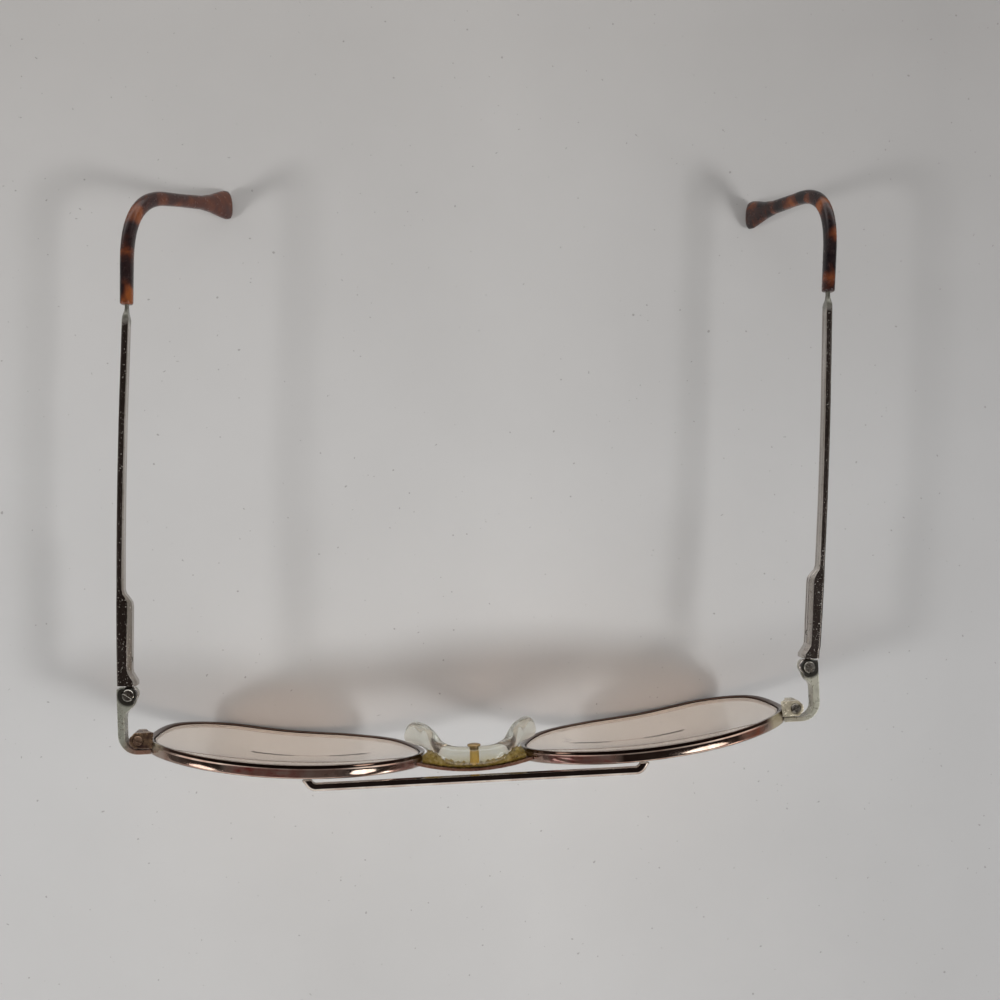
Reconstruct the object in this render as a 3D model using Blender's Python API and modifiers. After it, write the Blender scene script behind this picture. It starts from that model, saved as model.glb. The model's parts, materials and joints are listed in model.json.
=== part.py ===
"""Aviator eyeglasses with sprung hinges, a brow bar and a clear saddle nose bridge.

Metres, +Z up. The glasses stand on their two rims and their two temple tips. The front faces -Y,
and -X is the wearer's right. Every piece hangs from an empty at the middle of the front, and the
pieces of each temple hang from an empty on their hinge's axis.
"""
import math

import bmesh
import bpy
import numpy as np
from mathutils import Matrix, Vector

# Clearances
SEAT_GAP = 0.0003       # between pieces that are soldered, pressed or glued together
RUNNING_GAP = 0.00015   # between pieces that turn or slide on each other

# Where the middle of the front stands from the origin, which is the middle of the glasses' box
MIDPLANE_X = -0.0047
MIDPLANE_Y = -0.0052

# Lenses: the centre of the lens's middle surface, and how the lens is turned
LENS_X = 0.0394
LENS_Y = -0.0573
LENS_Z = 0.0233
LENS_WRAP = math.radians(5.6)      # the outer end swept back
LENS_TILT = math.radians(0.8)      # the top leaning back
LENS_CURVE = 0.130                 # radius of the spherical surfaces
LENS_THICKNESS = 0.0021
BEVEL_HEIGHT = 0.0005              # the ridge round the lens's edge
BEVEL_HALF_WIDTH = 0.0005
LENS_RING_SHARES = (0.10, 0.55, 1.0)

# The lens opening of the rim, seen from the front: across from its centre (outwards), and up
OPENING = (
    (0.0276, -0.0028),
    (0.0257, 0.0086),
    (0.0152, 0.0176),
    (0.0010, 0.0217),
    (-0.0135, 0.0213),
    (-0.0247, 0.0143),
    (-0.0279, 0.0040),
    (-0.0227, -0.0113),
    (-0.0122, -0.0192),
    (0.0020, -0.0216),
    (0.0158, -0.0216),
    (0.0250, -0.0148),
)
OPENING_STEPS = 48

# Rims
RIM_THICKNESS = 0.0013     # from the opening outwards
RIM_DEPTH = 0.0025         # front to back
RIM_LEDGE = 0.00105        # thickness at the narrower ledge along the rear
RIM_LEDGE_DEPTH = 0.0007
RIM_CHAMFER = 0.00035      # how far the step from the ledge to the full thickness slopes
RIM_ROUND = 0.0004         # at the front's outer edge
RIM_EDGE = 0.0002          # at the other edges
GROOVE_DEPTH = 0.0005
GROOVE_HALF_WIDTH = 0.0006
SPLIT_Z = 0.0309           # height of the cut between the closing blocks
SPLIT_GAP = 0.0004
CLEARANCE_REACH = 0.0050   # how far inside the opening the rim's clearance reaches
CLEARANCE_REAR = 0.0055    # how far behind the rim the blocks leave its opening free

# Closing blocks and their screws, outboard of the rims
BLOCK_INNER_X = 0.0640
BLOCK_OUTER_X = 0.0700
BLOCK_REAR_Y = -0.0482
BLOCK_DEPTH = 0.0032
BLOCK_HEIGHT = 0.0024
RIM_SCREW_X = 0.0683
RIM_SCREW_RADIUS = 0.0006
RIM_SCREW_HEAD_RADIUS = 0.0010
RIM_SCREW_END = 0.0003     # how far the screw's end stays inside the lower block

# Brow bar
BAR_HALF_LENGTH = 0.0342
BAR_REAR_Y = -0.0578
BAR_DEPTH = 0.00135
BAR_HEIGHT = 0.0020
BAR_RISE = 0.0001          # above the rim where it passes the opening's highest point
BAR_TOP_Z = LENS_Z + max(v for _, v in OPENING) + RIM_THICKNESS + BAR_RISE
BAR_NIB = 0.0007           # how far the ends turn back
BAR_NIB_LENGTH = 0.0013
BAR_NIB_SLOPE = 0.0012
BAR_NIB_ROUND = 0.0002
BAR_END_SLANT = 0.0020
BAR_EDGE_ROUND = 0.00025

# Lower bridge
BRIDGE_HALF_SPAN = 0.0125
BRIDGE_FRONT_Y = -0.0589
BRIDGE_BOW = 0.0019
BRIDGE_THICKNESS = 0.0006
BRIDGE_BOTTOM_Z = 0.0335
BRIDGE_HEIGHT = 0.0030

# Saddle nose bridge and its stud. Each station of the saddle's half: outwards, back and down from
# the middle of the arch, the turn of its width axis from straight back, and its half width and
# half thickness. The wings reach back past the rims and curl forward again at their ends.
SADDLE_Z = 0.0350
SADDLE_DEPTH = 0.0039
SADDLE_HEIGHT = 0.0042
SADDLE_SQUARENESS = 2.6
SADDLE_STATIONS = (
    (0.0034, 0.00010, 0.0001, 0.00, 0.00195, 0.00200),
    (0.0057, 0.00050, 0.0007, 0.00, 0.00205, 0.00180),
    (0.0073, 0.00110, 0.0020, 0.04, 0.00225, 0.00150),
    (0.0082, 0.00185, 0.0040, 0.07, 0.00280, 0.00125),
    (0.0091, 0.00265, 0.0060, 0.16, 0.00310, 0.00110),
    (0.01065, 0.00355, 0.0080, 0.27, 0.00280, 0.00100),
    (0.0120, 0.00335, 0.0105, 0.27, 0.00255, 0.00085),
    (0.0130, 0.00265, 0.0130, 0.32, 0.00190, 0.00070),
    (0.0137, 0.00180, 0.0152, 0.32, 0.00100, 0.00055),
    (0.0138, 0.00120, 0.0165, 0.32, 0.00035, 0.00030),
)
STUD_RADIUS = 0.00095
STUD_HEAD_RADIUS = 0.0014
STUD_HEAD_LENGTH = 0.0006

# Endpieces and hinges
HINGE_Z = 0.0314           # middle of the hinge's height
HINGE_HEIGHT = 0.0036
KNUCKLE_RADIUS = 0.0017
LUG_THICKNESS = 0.0011
STRAP_OUTER = 0.00195      # the strap's outer face, outboard of the hinge axis
STRAP_SIDE_THICKNESS = 0.0014
STRAP_FRONT_THICKNESS = 0.0012
STRAP_CORNER = 0.0030
STRAP_TAPER_END = 0.0043   # where the strap is down to its thickness, ahead of the hinge axis
STRAP_EDGE_ROUND = 0.00025
SHOULDER_Y = 0.00135       # the endpiece's rear face, behind the hinge axis
SHOULDER_GAP = 0.0005      # lets the temple flex outwards
HINGE_SCREW_RADIUS = 0.00065
HINGE_HEAD_RADIUS = 0.00120
HEAD_HEIGHT = 0.00045
SLOT_WIDTH = 0.00030
SLOT_DEPTH = 0.00022

# Sprung hinge inside the arm's housing
BORE_X = 0.00070           # the bore's axis, outboard of the hinge axis
BORE_RADIUS = 0.00095
BORE_END = 0.0157
SHAFT_RADIUS = 0.00050
COLLAR_RADIUS = 0.00078
COLLAR_LENGTH = 0.0008
COLLAR_Y = 0.0133
TONGUE_WIDTH = 0.0013
TONGUE_X = 0.0002          # where the tongue leaves the knuckle, outboard of the hinge axis
TONGUE_INSET = 0.0006      # how far inside the housing it ends in the round shaft
TONGUE_SQUARENESS = 8.0
SPRING_WIRE = 0.00014      # radius of the wire
SPRING_TURNS = 8
SPRING_START = 0.0078
PIN_RADIUS = 0.00040
PIN_INSET = 0.0001         # how far the pin's outer end lies below the housing's face
PIN_Y = 0.0072

# Temple arms
ARM_OUTER = 0.0019         # the arm's outer face, outboard of the hinge axis
ARM_THICKNESS = 0.00135
ARM_HEIGHT = 0.0031
ARM_CORNER = 0.00035
HOUSING_INNER = -0.00045
HOUSING_HEIGHT = 0.0035
HOUSING_END = 0.0180
HOUSING_TAPER = 0.0027
FLARE_INNER = -0.0017      # the housing's inner face at the hinge, where it flares
FLARE_LENGTH = 0.0032
NECK_LENGTH = 0.0031       # from the flat strip to the tip
CORE_RADIUS = 0.0006

# Temple tips
TIP_START = 0.0800
BEND_START = 0.0890
BEND_CORNER = 0.1025
BEND_RUN = 0.0120          # how much of the drop the bend takes
TIP_THICKNESS = 0.00265
TIP_WIDTH = 0.0032
TIP_WAIST = 0.0028
TIP_SQUARENESS = 2.3
PADDLE_WIDTH = 0.0064
PADDLE_LENGTH = 0.0110
PADDLE_ROUND = 0.0008      # how far before its end the paddle starts to round off
CORE_END_MARGIN = 0.0060
TIP_END_Z = 0.0003

# The two sides. The hinge's axis stands outboard and back from the middle of the front. Yaw opens
# the temple outwards. Reach and lean place the tip's end from the hinge axis, along the arm and
# inwards. The worn frame is a little skewed, so the sides differ.
SIDES = {
    "left": {
        "sign": 1, "hinge": (0.0717, -0.0413), "yaw": math.radians(4.69), "reach": 0.1025, "lean": 0.0089,
    },
    "right": {
        "sign": -1, "hinge": (0.0700, -0.0405), "yaw": math.radians(-2.45), "reach": 0.1080, "lean": 0.01555,
    },
}


def clear_scene():
    for obj in list(bpy.data.objects):
        bpy.data.objects.remove(obj, do_unlink=True)


def collection(name):
    made = bpy.data.collections.new(name)
    bpy.context.scene.collection.children.link(made)
    return made


def material(name, colour, metallic, roughness, transmission=0.0):
    made = bpy.data.materials.new(name)
    made.use_nodes = True
    shader = made.node_tree.nodes["Principled BSDF"]
    shader.inputs["Base Color"].default_value = (*colour, 1.0)
    shader.inputs["Metallic"].default_value = metallic
    shader.inputs["Roughness"].default_value = roughness
    shader.inputs["Transmission Weight"].default_value = transmission
    made.diffuse_color = (*colour, 1.0)
    return made


clear_scene()
PARTS = collection("aviator_eyeglasses")
CUTTERS = collection("cutters")

ROSE_METAL = material("rose_metal", (0.72, 0.55, 0.45), 1.0, 0.22)
NICKEL = material("nickel", (0.66, 0.62, 0.54), 1.0, 0.25)
STEEL = material("screw_steel", (0.55, 0.53, 0.50), 1.0, 0.30)
BRASS = material("stud_brass", (0.80, 0.60, 0.22), 1.0, 0.25)
LENS_TINT = material("lens_tint", (0.78, 0.68, 0.64), 0.0, 0.03, 0.9)
CLEAR_PLASTIC = material("clear_plastic", (0.82, 0.80, 0.66), 0.0, 0.15, 0.7)
TORTOISESHELL = material("tortoiseshell", (0.33, 0.11, 0.04), 0.0, 0.18)


def empty(name, location, yaw=0.0, parent=None):
    made = bpy.data.objects.new(name, None)
    made.location = location
    made.rotation_euler = (0.0, 0.0, yaw)
    made.parent = parent
    PARTS.objects.link(made)
    return made


def add_mesh(name, work, parent, finish, home=PARTS):
    """Turns a bmesh into an object with its faces pointing out and its round sides smooth."""
    bmesh.ops.recalc_face_normals(work, faces=work.faces)
    mesh = bpy.data.meshes.new(name)
    work.to_mesh(mesh)
    work.free()
    made = bpy.data.objects.new(name, mesh)
    made.parent = parent
    home.objects.link(made)
    if finish is None:
        made.hide_render = True
        made.display_type = "WIRE"
        return made
    mesh.materials.append(finish)
    mesh.shade_smooth()
    mesh.set_sharp_from_angle(angle=math.radians(35))
    return made


def loft(name, rings, parent, finish, home=PARTS, endless=False):
    """A closed body through rings of points: capped at both ends, or endless like a torus."""
    work = bmesh.new()
    made = [[work.verts.new(point) for point in ring] for ring in rings]
    count = len(made[0])
    following = made[1:] + made[:1] if endless else made[1:]
    for near, far in zip(made, following):
        for k in range(count):
            after = (k + 1) % count
            work.faces.new((near[k], near[after], far[after], far[k]))
    if not endless:
        work.faces.new(made[0])
        work.faces.new(made[-1])
    return add_mesh(name, work, parent, finish, home)


def plate(name, outline, bottom, top, parent, finish, home=PARTS):
    """A flat outline, seen from above, raised from its bottom to its top."""
    low = [Vector((x, y, bottom)) for x, y in outline]
    high = [Vector((x, y, top)) for x, y in outline]
    return loft(name, [low, high], parent, finish, home)


def rod(name, radius, start, end, parent, finish, home=PARTS, sides=16):
    """A round rod between two points, as a cone primitive with equal ends."""
    start = Vector(start)
    span = Vector(end) - start
    work = bmesh.new()
    place = Matrix.Translation(start + span / 2) @ span.to_track_quat("Z", "Y").to_matrix().to_4x4()
    bmesh.ops.create_cone(
        work, cap_ends=True, segments=sides, radius1=radius, radius2=radius, depth=span.length, matrix=place
    )
    return add_mesh(name, work, parent, finish, home)


def block(name, low, high, parent, finish, home=PARTS):
    """A box between two opposite corners."""
    low, high = Vector(low), Vector(high)
    work = bmesh.new()
    size = high - low
    scale = Matrix.Diagonal((abs(size.x), abs(size.y), abs(size.z), 1.0))
    bmesh.ops.create_cube(work, size=1.0, matrix=Matrix.Translation((low + high) / 2) @ scale)
    return add_mesh(name, work, parent, finish, home)


def combine(target, other, operation):
    step = target.modifiers.new(operation.lower(), "BOOLEAN")
    step.operation = operation
    step.object = other


def cut(target, cutter):
    combine(target, cutter, "DIFFERENCE")


def soften(target, width, segments=2):
    """Rounds the sharp edges of a piece."""
    step = target.modifiers.new("rounded_edges", "BEVEL")
    step.width = width
    step.segments = segments
    step.limit_method = "ANGLE"
    step.angle_limit = math.radians(40)


def rounded_ring(centre, across, upright, half_width, half_height, count=16, squareness=2.0):
    """A ring between an ellipse (squareness 2) and a rectangle (higher)."""
    points = []
    for k in range(count):
        turn = 2 * math.pi * (k + 0.5) / count
        c, s = math.cos(turn), math.sin(turn)
        reach = (abs(c) ** squareness + abs(s) ** squareness) ** (-1 / squareness)
        points.append(centre + across * (half_width * reach * c) + upright * (half_height * reach * s))
    return points


def flat_sided_ring(centre, across, upright, half_width, half_height, corner):
    """A rectangle with round corners, in the same order and number of points as rounded_ring."""
    points = []
    for quarter in range(4):
        side_x = 1 if quarter in (0, 3) else -1
        side_y = 1 if quarter < 2 else -1
        for step in range(4):
            turn = math.pi / 2 * (quarter + step / 3)
            x = side_x * (half_width - corner) + corner * math.cos(turn)
            y = side_y * (half_height - corner) + corner * math.sin(turn)
            points.append(centre + across * x + upright * y)
    return points


# The lens opening as a smooth closed curve

def opening_spline(steps_between=60):
    """The curve through the opening's points (a Catmull-Rom spline), and its outward directions."""
    corners = np.array(OPENING)
    count = len(corners)
    curve = []
    for k in range(count):
        a, b, c, d = (corners[(k + shift) % count] for shift in (-1, 0, 1, 2))
        for t in np.arange(steps_between) / steps_between:
            curve.append(0.5 * (2 * b + (c - a) * t + (2 * a - 5 * b + 4 * c - d) * t**2
                                + (3 * b - a - 3 * c + d) * t**3))
    curve = np.array(curve)
    along = np.roll(curve, -1, axis=0) - np.roll(curve, 1, axis=0)
    outwards = np.stack((along[:, 1], -along[:, 0]), axis=1)
    return curve, outwards / np.linalg.norm(outwards, axis=1)[:, None]


def opening_curve(grow=0.0, gap=SPLIT_GAP):
    """Evenly spaced points and outward directions, from the split over the top and back to it."""
    curve, outwards = opening_spline()
    split = SPLIT_Z - LENS_Z
    above = (curve[:, 0] > 0) & (curve[:, 1] >= split)
    first = int(np.argmin(np.where(above, curve[:, 1], np.inf)))
    order = np.arange(first, first + len(curve) + 1) % len(curve)
    curve, outwards = curve[order], outwards[order]
    steps = np.linalg.norm(np.diff(curve, axis=0), axis=1)
    lengths = np.concatenate(([0.0], np.cumsum(steps)))
    places = np.linspace(gap / 2, lengths[-1] - gap / 2, OPENING_STEPS)
    even = [np.interp(places, lengths, curve[:, axis]) for axis in (0, 1)]
    normal = [np.interp(places, lengths, outwards[:, axis]) for axis in (0, 1)]
    return [((u + grow * nu, v + grow * nv), (nu, nv)) for u, v, nu, nv in zip(*even, *normal)]


def lens_point(sign, u, v, back):
    """A point of the front from lens coordinates: outwards, up, and back from the middle surface."""
    out = Vector((sign * math.cos(LENS_WRAP), math.sin(LENS_WRAP), 0.0))
    rear = Vector((-sign * math.sin(LENS_WRAP), math.cos(LENS_WRAP), 0.0))
    up = Vector((0.0, 0.0, 1.0)) * math.cos(LENS_TILT) + rear * math.sin(LENS_TILT)
    rear = rear * math.cos(LENS_TILT) - Vector((0.0, 0.0, 1.0)) * math.sin(LENS_TILT)
    sag = (u * u + v * v) / (2 * LENS_CURVE)
    centre = Vector((sign * LENS_X, LENS_Y, LENS_Z))
    return centre + out * u + up * v + rear * (back + sag)


def rim_section():
    """The rim's section as (outwards from the opening, back), with a ledge along its rear."""
    front = -RIM_DEPTH / 2
    rear = RIM_DEPTH / 2
    ledge_end = rear - RIM_LEDGE_DEPTH
    return (
        (0.0, front + RIM_EDGE),
        (0.0, -GROOVE_HALF_WIDTH),
        (GROOVE_DEPTH, 0.0),
        (0.0, GROOVE_HALF_WIDTH),
        (0.0, rear),
        (RIM_LEDGE - RIM_EDGE, rear),
        (RIM_LEDGE, rear - RIM_EDGE),
        (RIM_LEDGE, ledge_end),
        (RIM_THICKNESS, ledge_end - RIM_CHAMFER),
        (RIM_THICKNESS, front + RIM_ROUND),
        (RIM_THICKNESS - RIM_ROUND * 0.3, front + RIM_ROUND * 0.3),
        (RIM_THICKNESS - RIM_ROUND, front),
        (RIM_EDGE, front),
    )


def make_rim(side, sign, front):
    rings = []
    for (u, v), (nu, nv) in opening_curve():
        rings.append([lens_point(sign, u + out * nu, v + out * nv, back) for out, back in rim_section()])
    return loft(side + "_rim", rings, front, ROSE_METAL)


def make_rim_clearance(side, sign, front):
    """The rim's outer shape with the seat gap round it, and the space behind it and its opening."""
    outer = RIM_THICKNESS + SEAT_GAP
    deep = RIM_DEPTH / 2 + SEAT_GAP
    behind = RIM_DEPTH / 2 + CLEARANCE_REAR
    section = ((-CLEARANCE_REACH, -deep), (-CLEARANCE_REACH, behind), (outer, behind), (outer, -deep))
    rings = []
    for (u, v), (nu, nv) in opening_curve(gap=0.0)[:-1]:
        rings.append([lens_point(sign, u + out * nu, v + out * nv, back) for out, back in section])
    return loft(side + "_rim_clearance", rings, front, None, CUTTERS, endless=True)


def make_lens(side, sign, front):
    """A meniscus lens with a V ridge round its edge that sits in the rim's groove."""
    half = LENS_THICKNESS / 2
    ridge = GROOVE_DEPTH - SEAT_GAP
    edge = ridge - BEVEL_HEIGHT
    outline = [point for point, _ in opening_curve(grow=edge)]
    tip = [point for point, _ in opening_curve(grow=ridge)]
    rings = []
    for share in LENS_RING_SHARES:
        rings.append([lens_point(sign, u * share, v * share, -half) for u, v in outline])
    rings.append([lens_point(sign, u, v, -BEVEL_HALF_WIDTH) for u, v in outline])
    rings.append([lens_point(sign, u, v, 0.0) for u, v in tip])
    rings.append([lens_point(sign, u, v, BEVEL_HALF_WIDTH) for u, v in outline])
    for share in reversed(LENS_RING_SHARES):
        rings.append([lens_point(sign, u * share, v * share, half) for u, v in outline])
    return loft(side + "_lens", rings, front, LENS_TINT)


# The front's small metal

def make_brow_bar(front):
    """A straight bar whose ends turn back onto the rims, with slanted end faces."""
    rear = BAR_REAR_Y
    ahead = rear - BAR_DEPTH
    half = [
        (BAR_HALF_LENGTH - BAR_END_SLANT, ahead),
        (BAR_HALF_LENGTH, rear + BAR_NIB * 0.4),
        (BAR_HALF_LENGTH - BAR_NIB_ROUND, rear + BAR_NIB),
        (BAR_HALF_LENGTH - BAR_NIB_LENGTH, rear + BAR_NIB),
        (BAR_HALF_LENGTH - BAR_NIB_LENGTH - BAR_NIB_SLOPE, rear),
    ]
    outline = half + [(-x, y) for x, y in reversed(half)]
    bar = plate("brow_bar", outline, BAR_TOP_Z - BAR_HEIGHT, BAR_TOP_Z, front, ROSE_METAL)
    soften(bar, BAR_EDGE_ROUND)
    return bar


def bridge_line(x):
    """The bow of the lower bridge: its front face, seen from above."""
    return BRIDGE_FRONT_Y + BRIDGE_BOW * (x / BRIDGE_HALF_SPAN) ** 2


def make_bridge(front, clearances):
    steps = np.linspace(-BRIDGE_HALF_SPAN, BRIDGE_HALF_SPAN, 17)
    ahead = [(x, bridge_line(x)) for x in steps]
    behind = [(x, bridge_line(x) + BRIDGE_THICKNESS) for x in reversed(steps)]
    top = BRIDGE_BOTTOM_Z + BRIDGE_HEIGHT
    bridge = plate("bridge", ahead + behind, BRIDGE_BOTTOM_Z, top, front, ROSE_METAL)
    for cutter in clearances:
        cut(bridge, cutter)
    return bridge


def saddle_path():
    """The saddle's sections from wing to wing: centre, width axis, half width and half thickness."""
    middle = Vector((0.0, BRIDGE_FRONT_Y + BRIDGE_THICKNESS + SEAT_GAP + SADDLE_DEPTH / 2, SADDLE_Z))
    halves = {-1: [], 1: []}
    for outwards, back, down, turn, half_width, half_height in SADDLE_STATIONS:
        for sign, half in halves.items():
            across = Vector((sign * math.sin(turn), math.cos(turn), 0.0))
            half.append((middle + Vector((sign * outwards, back, -down)), across, half_width, half_height))
    top = (middle, Vector((0.0, 1.0, 0.0)), SADDLE_DEPTH / 2, SADDLE_HEIGHT / 2)
    return halves[-1][::-1] + [top] + halves[1]


def make_saddle(front):
    """The clear saddle: an arch behind the lower bridge that runs down into two pad wings."""
    path = saddle_path()
    rings = []
    for k, (centre, across, half_width, half_height) in enumerate(path):
        before = path[max(k - 1, 0)][0]
        after = path[min(k + 1, len(path) - 1)][0]
        upright = (after - before).normalized().cross(across).normalized()
        rings.append(rounded_ring(centre, across, upright, half_width, half_height, 16, SADDLE_SQUARENESS))
    saddle = loft("nose_saddle", rings, front, CLEAR_PLASTIC)
    ahead = BRIDGE_FRONT_Y
    behind = BRIDGE_FRONT_Y + SADDLE_DEPTH * 2
    bore = STUD_RADIUS + RUNNING_GAP
    cutter = rod("stud_bore", bore, (0, ahead, SADDLE_Z), (0, behind, SADDLE_Z), front, None, CUTTERS)
    cut(saddle, cutter)
    return saddle


def make_stud(front):
    """The brass stud behind the lower bridge, with its head on the saddle's rear face."""
    start = BRIDGE_FRONT_Y + BRIDGE_THICKNESS + SEAT_GAP
    head = start + SADDLE_DEPTH + RUNNING_GAP
    shank = ((STUD_RADIUS, start), (STUD_RADIUS, head))
    profile = shank + (
        (STUD_HEAD_RADIUS, head),
        (STUD_HEAD_RADIUS, head + STUD_HEAD_LENGTH * 0.6),
        (STUD_HEAD_RADIUS * 0.75, head + STUD_HEAD_LENGTH),
    )
    right, up = Vector((1, 0, 0)), Vector((0, 0, 1))
    rings = [rounded_ring(Vector((0, y, SADDLE_Z)), right, up, radius, radius, 16) for radius, y in profile]
    return loft("saddle_stud", rings, front, BRASS)


def slotted_screw(name, x, y, top, length, radius, head_radius, parent):
    """A screw along Z with a slotted head; top is the head's upper face."""
    profile = (
        (radius, top - length),
        (radius, top - HEAD_HEIGHT),
        (head_radius, top - HEAD_HEIGHT),
        (head_radius, top - HEAD_HEIGHT * 0.3),
        (head_radius * 0.88, top),
    )
    right, back = Vector((1, 0, 0)), Vector((0, 1, 0))
    rings = [rounded_ring(Vector((x, y, z)), right, back, r, r, 16) for r, z in profile]
    screw = loft(name, rings, parent, STEEL)
    low = (x - head_radius * 1.5, y - SLOT_WIDTH / 2, top - SLOT_DEPTH)
    high = (x + head_radius * 1.5, y + SLOT_WIDTH / 2, top + SLOT_DEPTH)
    cut(screw, block(name + "_slot", low, high, parent, None, CUTTERS))
    return screw


def block_outline(sign):
    """A closing block from above: square towards the rim, round at its outer end."""
    front_y = BLOCK_REAR_Y - BLOCK_DEPTH
    round_radius = BLOCK_DEPTH / 2
    centre_x = BLOCK_OUTER_X - round_radius
    points = [(sign * BLOCK_INNER_X, front_y)]
    for k in range(9):
        turn = -math.pi / 2 + math.pi * k / 8
        x = centre_x + round_radius * math.cos(turn)
        points.append((sign * x, BLOCK_REAR_Y - round_radius + round_radius * math.sin(turn)))
    points.append((sign * BLOCK_INNER_X, BLOCK_REAR_Y))
    return points


def make_closing_blocks(side, sign, front, clearance):
    middle_y = BLOCK_REAR_Y - BLOCK_DEPTH / 2
    low = SPLIT_Z - SPLIT_GAP / 2 - BLOCK_HEIGHT
    high = SPLIT_Z + SPLIT_GAP / 2 + BLOCK_HEIGHT
    x = sign * RIM_SCREW_X
    past = BLOCK_HEIGHT
    hole = rod(side + "_rim_screw_hole", RIM_SCREW_RADIUS + RUNNING_GAP, (x, middle_y, low - past),
               (x, middle_y, high + past), front, None, CUTTERS)
    sink = rod(side + "_rim_screw_sink", RIM_SCREW_HEAD_RADIUS + RUNNING_GAP, (x, middle_y, high - HEAD_HEIGHT),
               (x, middle_y, high + past), front, None, CUTTERS)
    levels = {
        "upper": (SPLIT_Z + SPLIT_GAP / 2, high, (clearance, hole, sink)),
        "lower": (low, SPLIT_Z - SPLIT_GAP / 2, (clearance, hole)),
    }
    for level, (bottom, top, cutters) in levels.items():
        name = side + "_" + level + "_closing_block"
        made = plate(name, block_outline(sign), bottom, top, front, ROSE_METAL)
        for cutter in cutters:
            cut(made, cutter)
    top = high + RUNNING_GAP
    length = top - low - RIM_SCREW_END
    slotted_screw(side + "_rim_screw", x, middle_y, top, length, RIM_SCREW_RADIUS, RIM_SCREW_HEAD_RADIUS, front)


def endpiece_outline(side):
    """The endpiece from above, round from its front end past the corner to the hinge and back."""
    sign = SIDES[side]["sign"]
    hinge_x, hinge_y = SIDES[side]["hinge"]
    rear_y = BLOCK_REAR_Y - BLOCK_DEPTH - SEAT_GAP
    front_y = rear_y - STRAP_FRONT_THICKNESS
    outer_x = hinge_x + STRAP_OUTER
    inner_x = outer_x - STRAP_SIDE_THICKNESS
    points = [(BLOCK_INNER_X, rear_y), (BLOCK_INNER_X, front_y)]
    for k in range(7):
        turn = -math.pi / 2 + math.pi / 2 * k / 6
        x = outer_x - STRAP_CORNER + STRAP_CORNER * math.cos(turn)
        points.append((x, front_y + STRAP_CORNER + STRAP_CORNER * math.sin(turn)))
    points.append((outer_x, hinge_y + SHOULDER_Y))
    start = math.asin(SHOULDER_Y / KNUCKLE_RADIUS)
    for k in range(9):
        turn = math.pi - start + (start + math.radians(45)) * k / 8
        points.append((hinge_x + KNUCKLE_RADIUS * math.cos(turn), hinge_y + KNUCKLE_RADIUS * math.sin(turn)))
    points.append((inner_x, hinge_y - STRAP_TAPER_END))
    inner_corner = STRAP_CORNER - STRAP_SIDE_THICKNESS
    for k in range(4):
        turn = -math.pi / 2 * k / 3
        x = inner_x - inner_corner + inner_corner * math.cos(turn)
        points.append((x, rear_y + inner_corner + inner_corner * math.sin(turn)))
    return [(sign * x, y) for x, y in points]


def make_endpiece(side, front, clearance):
    bottom = HINGE_Z - HINGE_HEIGHT / 2
    top = HINGE_Z + HINGE_HEIGHT / 2
    endpiece = plate(side + "_endpiece", endpiece_outline(side), bottom, top, front, NICKEL)
    soften(endpiece, STRAP_EDGE_ROUND)
    hinge_x, y = SIDES[side]["hinge"]
    x = SIDES[side]["sign"] * hinge_x
    reach = math.hypot(STRAP_OUTER, SHOULDER_Y) + RUNNING_GAP
    fork = rod(side + "_fork", reach, (x, y, bottom + LUG_THICKNESS), (x, y, top - LUG_THICKNESS),
               front, None, CUTTERS, sides=24)
    past = HINGE_HEIGHT
    hole = rod(side + "_hinge_screw_hole", HINGE_SCREW_RADIUS + RUNNING_GAP, (x, y, bottom - past),
               (x, y, top + past), front, None, CUTTERS)
    sink = rod(side + "_hinge_screw_sink", HINGE_HEAD_RADIUS + RUNNING_GAP, (x, y, top - HEAD_HEIGHT),
               (x, y, top + past), front, None, CUTTERS)
    for cutter in (clearance, fork, hole, sink):
        cut(endpiece, cutter)
    screw_top = top + RUNNING_GAP
    slotted_screw(side + "_hinge_screw", x, y, screw_top, HINGE_HEIGHT, HINGE_SCREW_RADIUS, HINGE_HEAD_RADIUS, front)


# The sprung hinge, in the hinge's own axes: origin on the axis at mid-height, +Y along the arm

def make_slider(side, sign, hinge):
    """Middle knuckle, tongue, shaft and end collar in one piece."""
    half = HINGE_HEIGHT / 2 - LUG_THICKNESS - RUNNING_GAP
    slider = rod(side + "_hinge_slider", KNUCKLE_RADIUS, (0, 0, -half), (0, 0, half), hinge, NICKEL, sides=24)
    right, up = Vector((1, 0, 0)), Vector((0, 0, 1))
    x = sign * BORE_X
    end = COLLAR_Y + COLLAR_LENGTH
    tongue_end = SHOULDER_Y + SHOULDER_GAP + TONGUE_INSET
    stations = (
        (sign * TONGUE_X, KNUCKLE_RADIUS * 0.75, TONGUE_WIDTH / 2, half, TONGUE_SQUARENESS),
        (x, tongue_end, SHAFT_RADIUS, SHAFT_RADIUS, 2.0),
        (x, COLLAR_Y, SHAFT_RADIUS, SHAFT_RADIUS, 2.0),
        (x, COLLAR_Y, COLLAR_RADIUS, COLLAR_RADIUS, 2.0),
        (x, end, COLLAR_RADIUS, COLLAR_RADIUS, 2.0),
    )
    rings = [rounded_ring(Vector((x, y, 0)), right, up, a, b, 16, power) for x, y, a, b, power in stations]
    combine(slider, loft(side + "_slider_shaft", rings, hinge, None, CUTTERS), "UNION")
    hole = rod(side + "_knuckle_hole", HINGE_SCREW_RADIUS + RUNNING_GAP, (0, 0, -HINGE_HEIGHT),
               (0, 0, HINGE_HEIGHT), hinge, None, CUTTERS)
    cut(slider, hole)
    return slider


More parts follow.
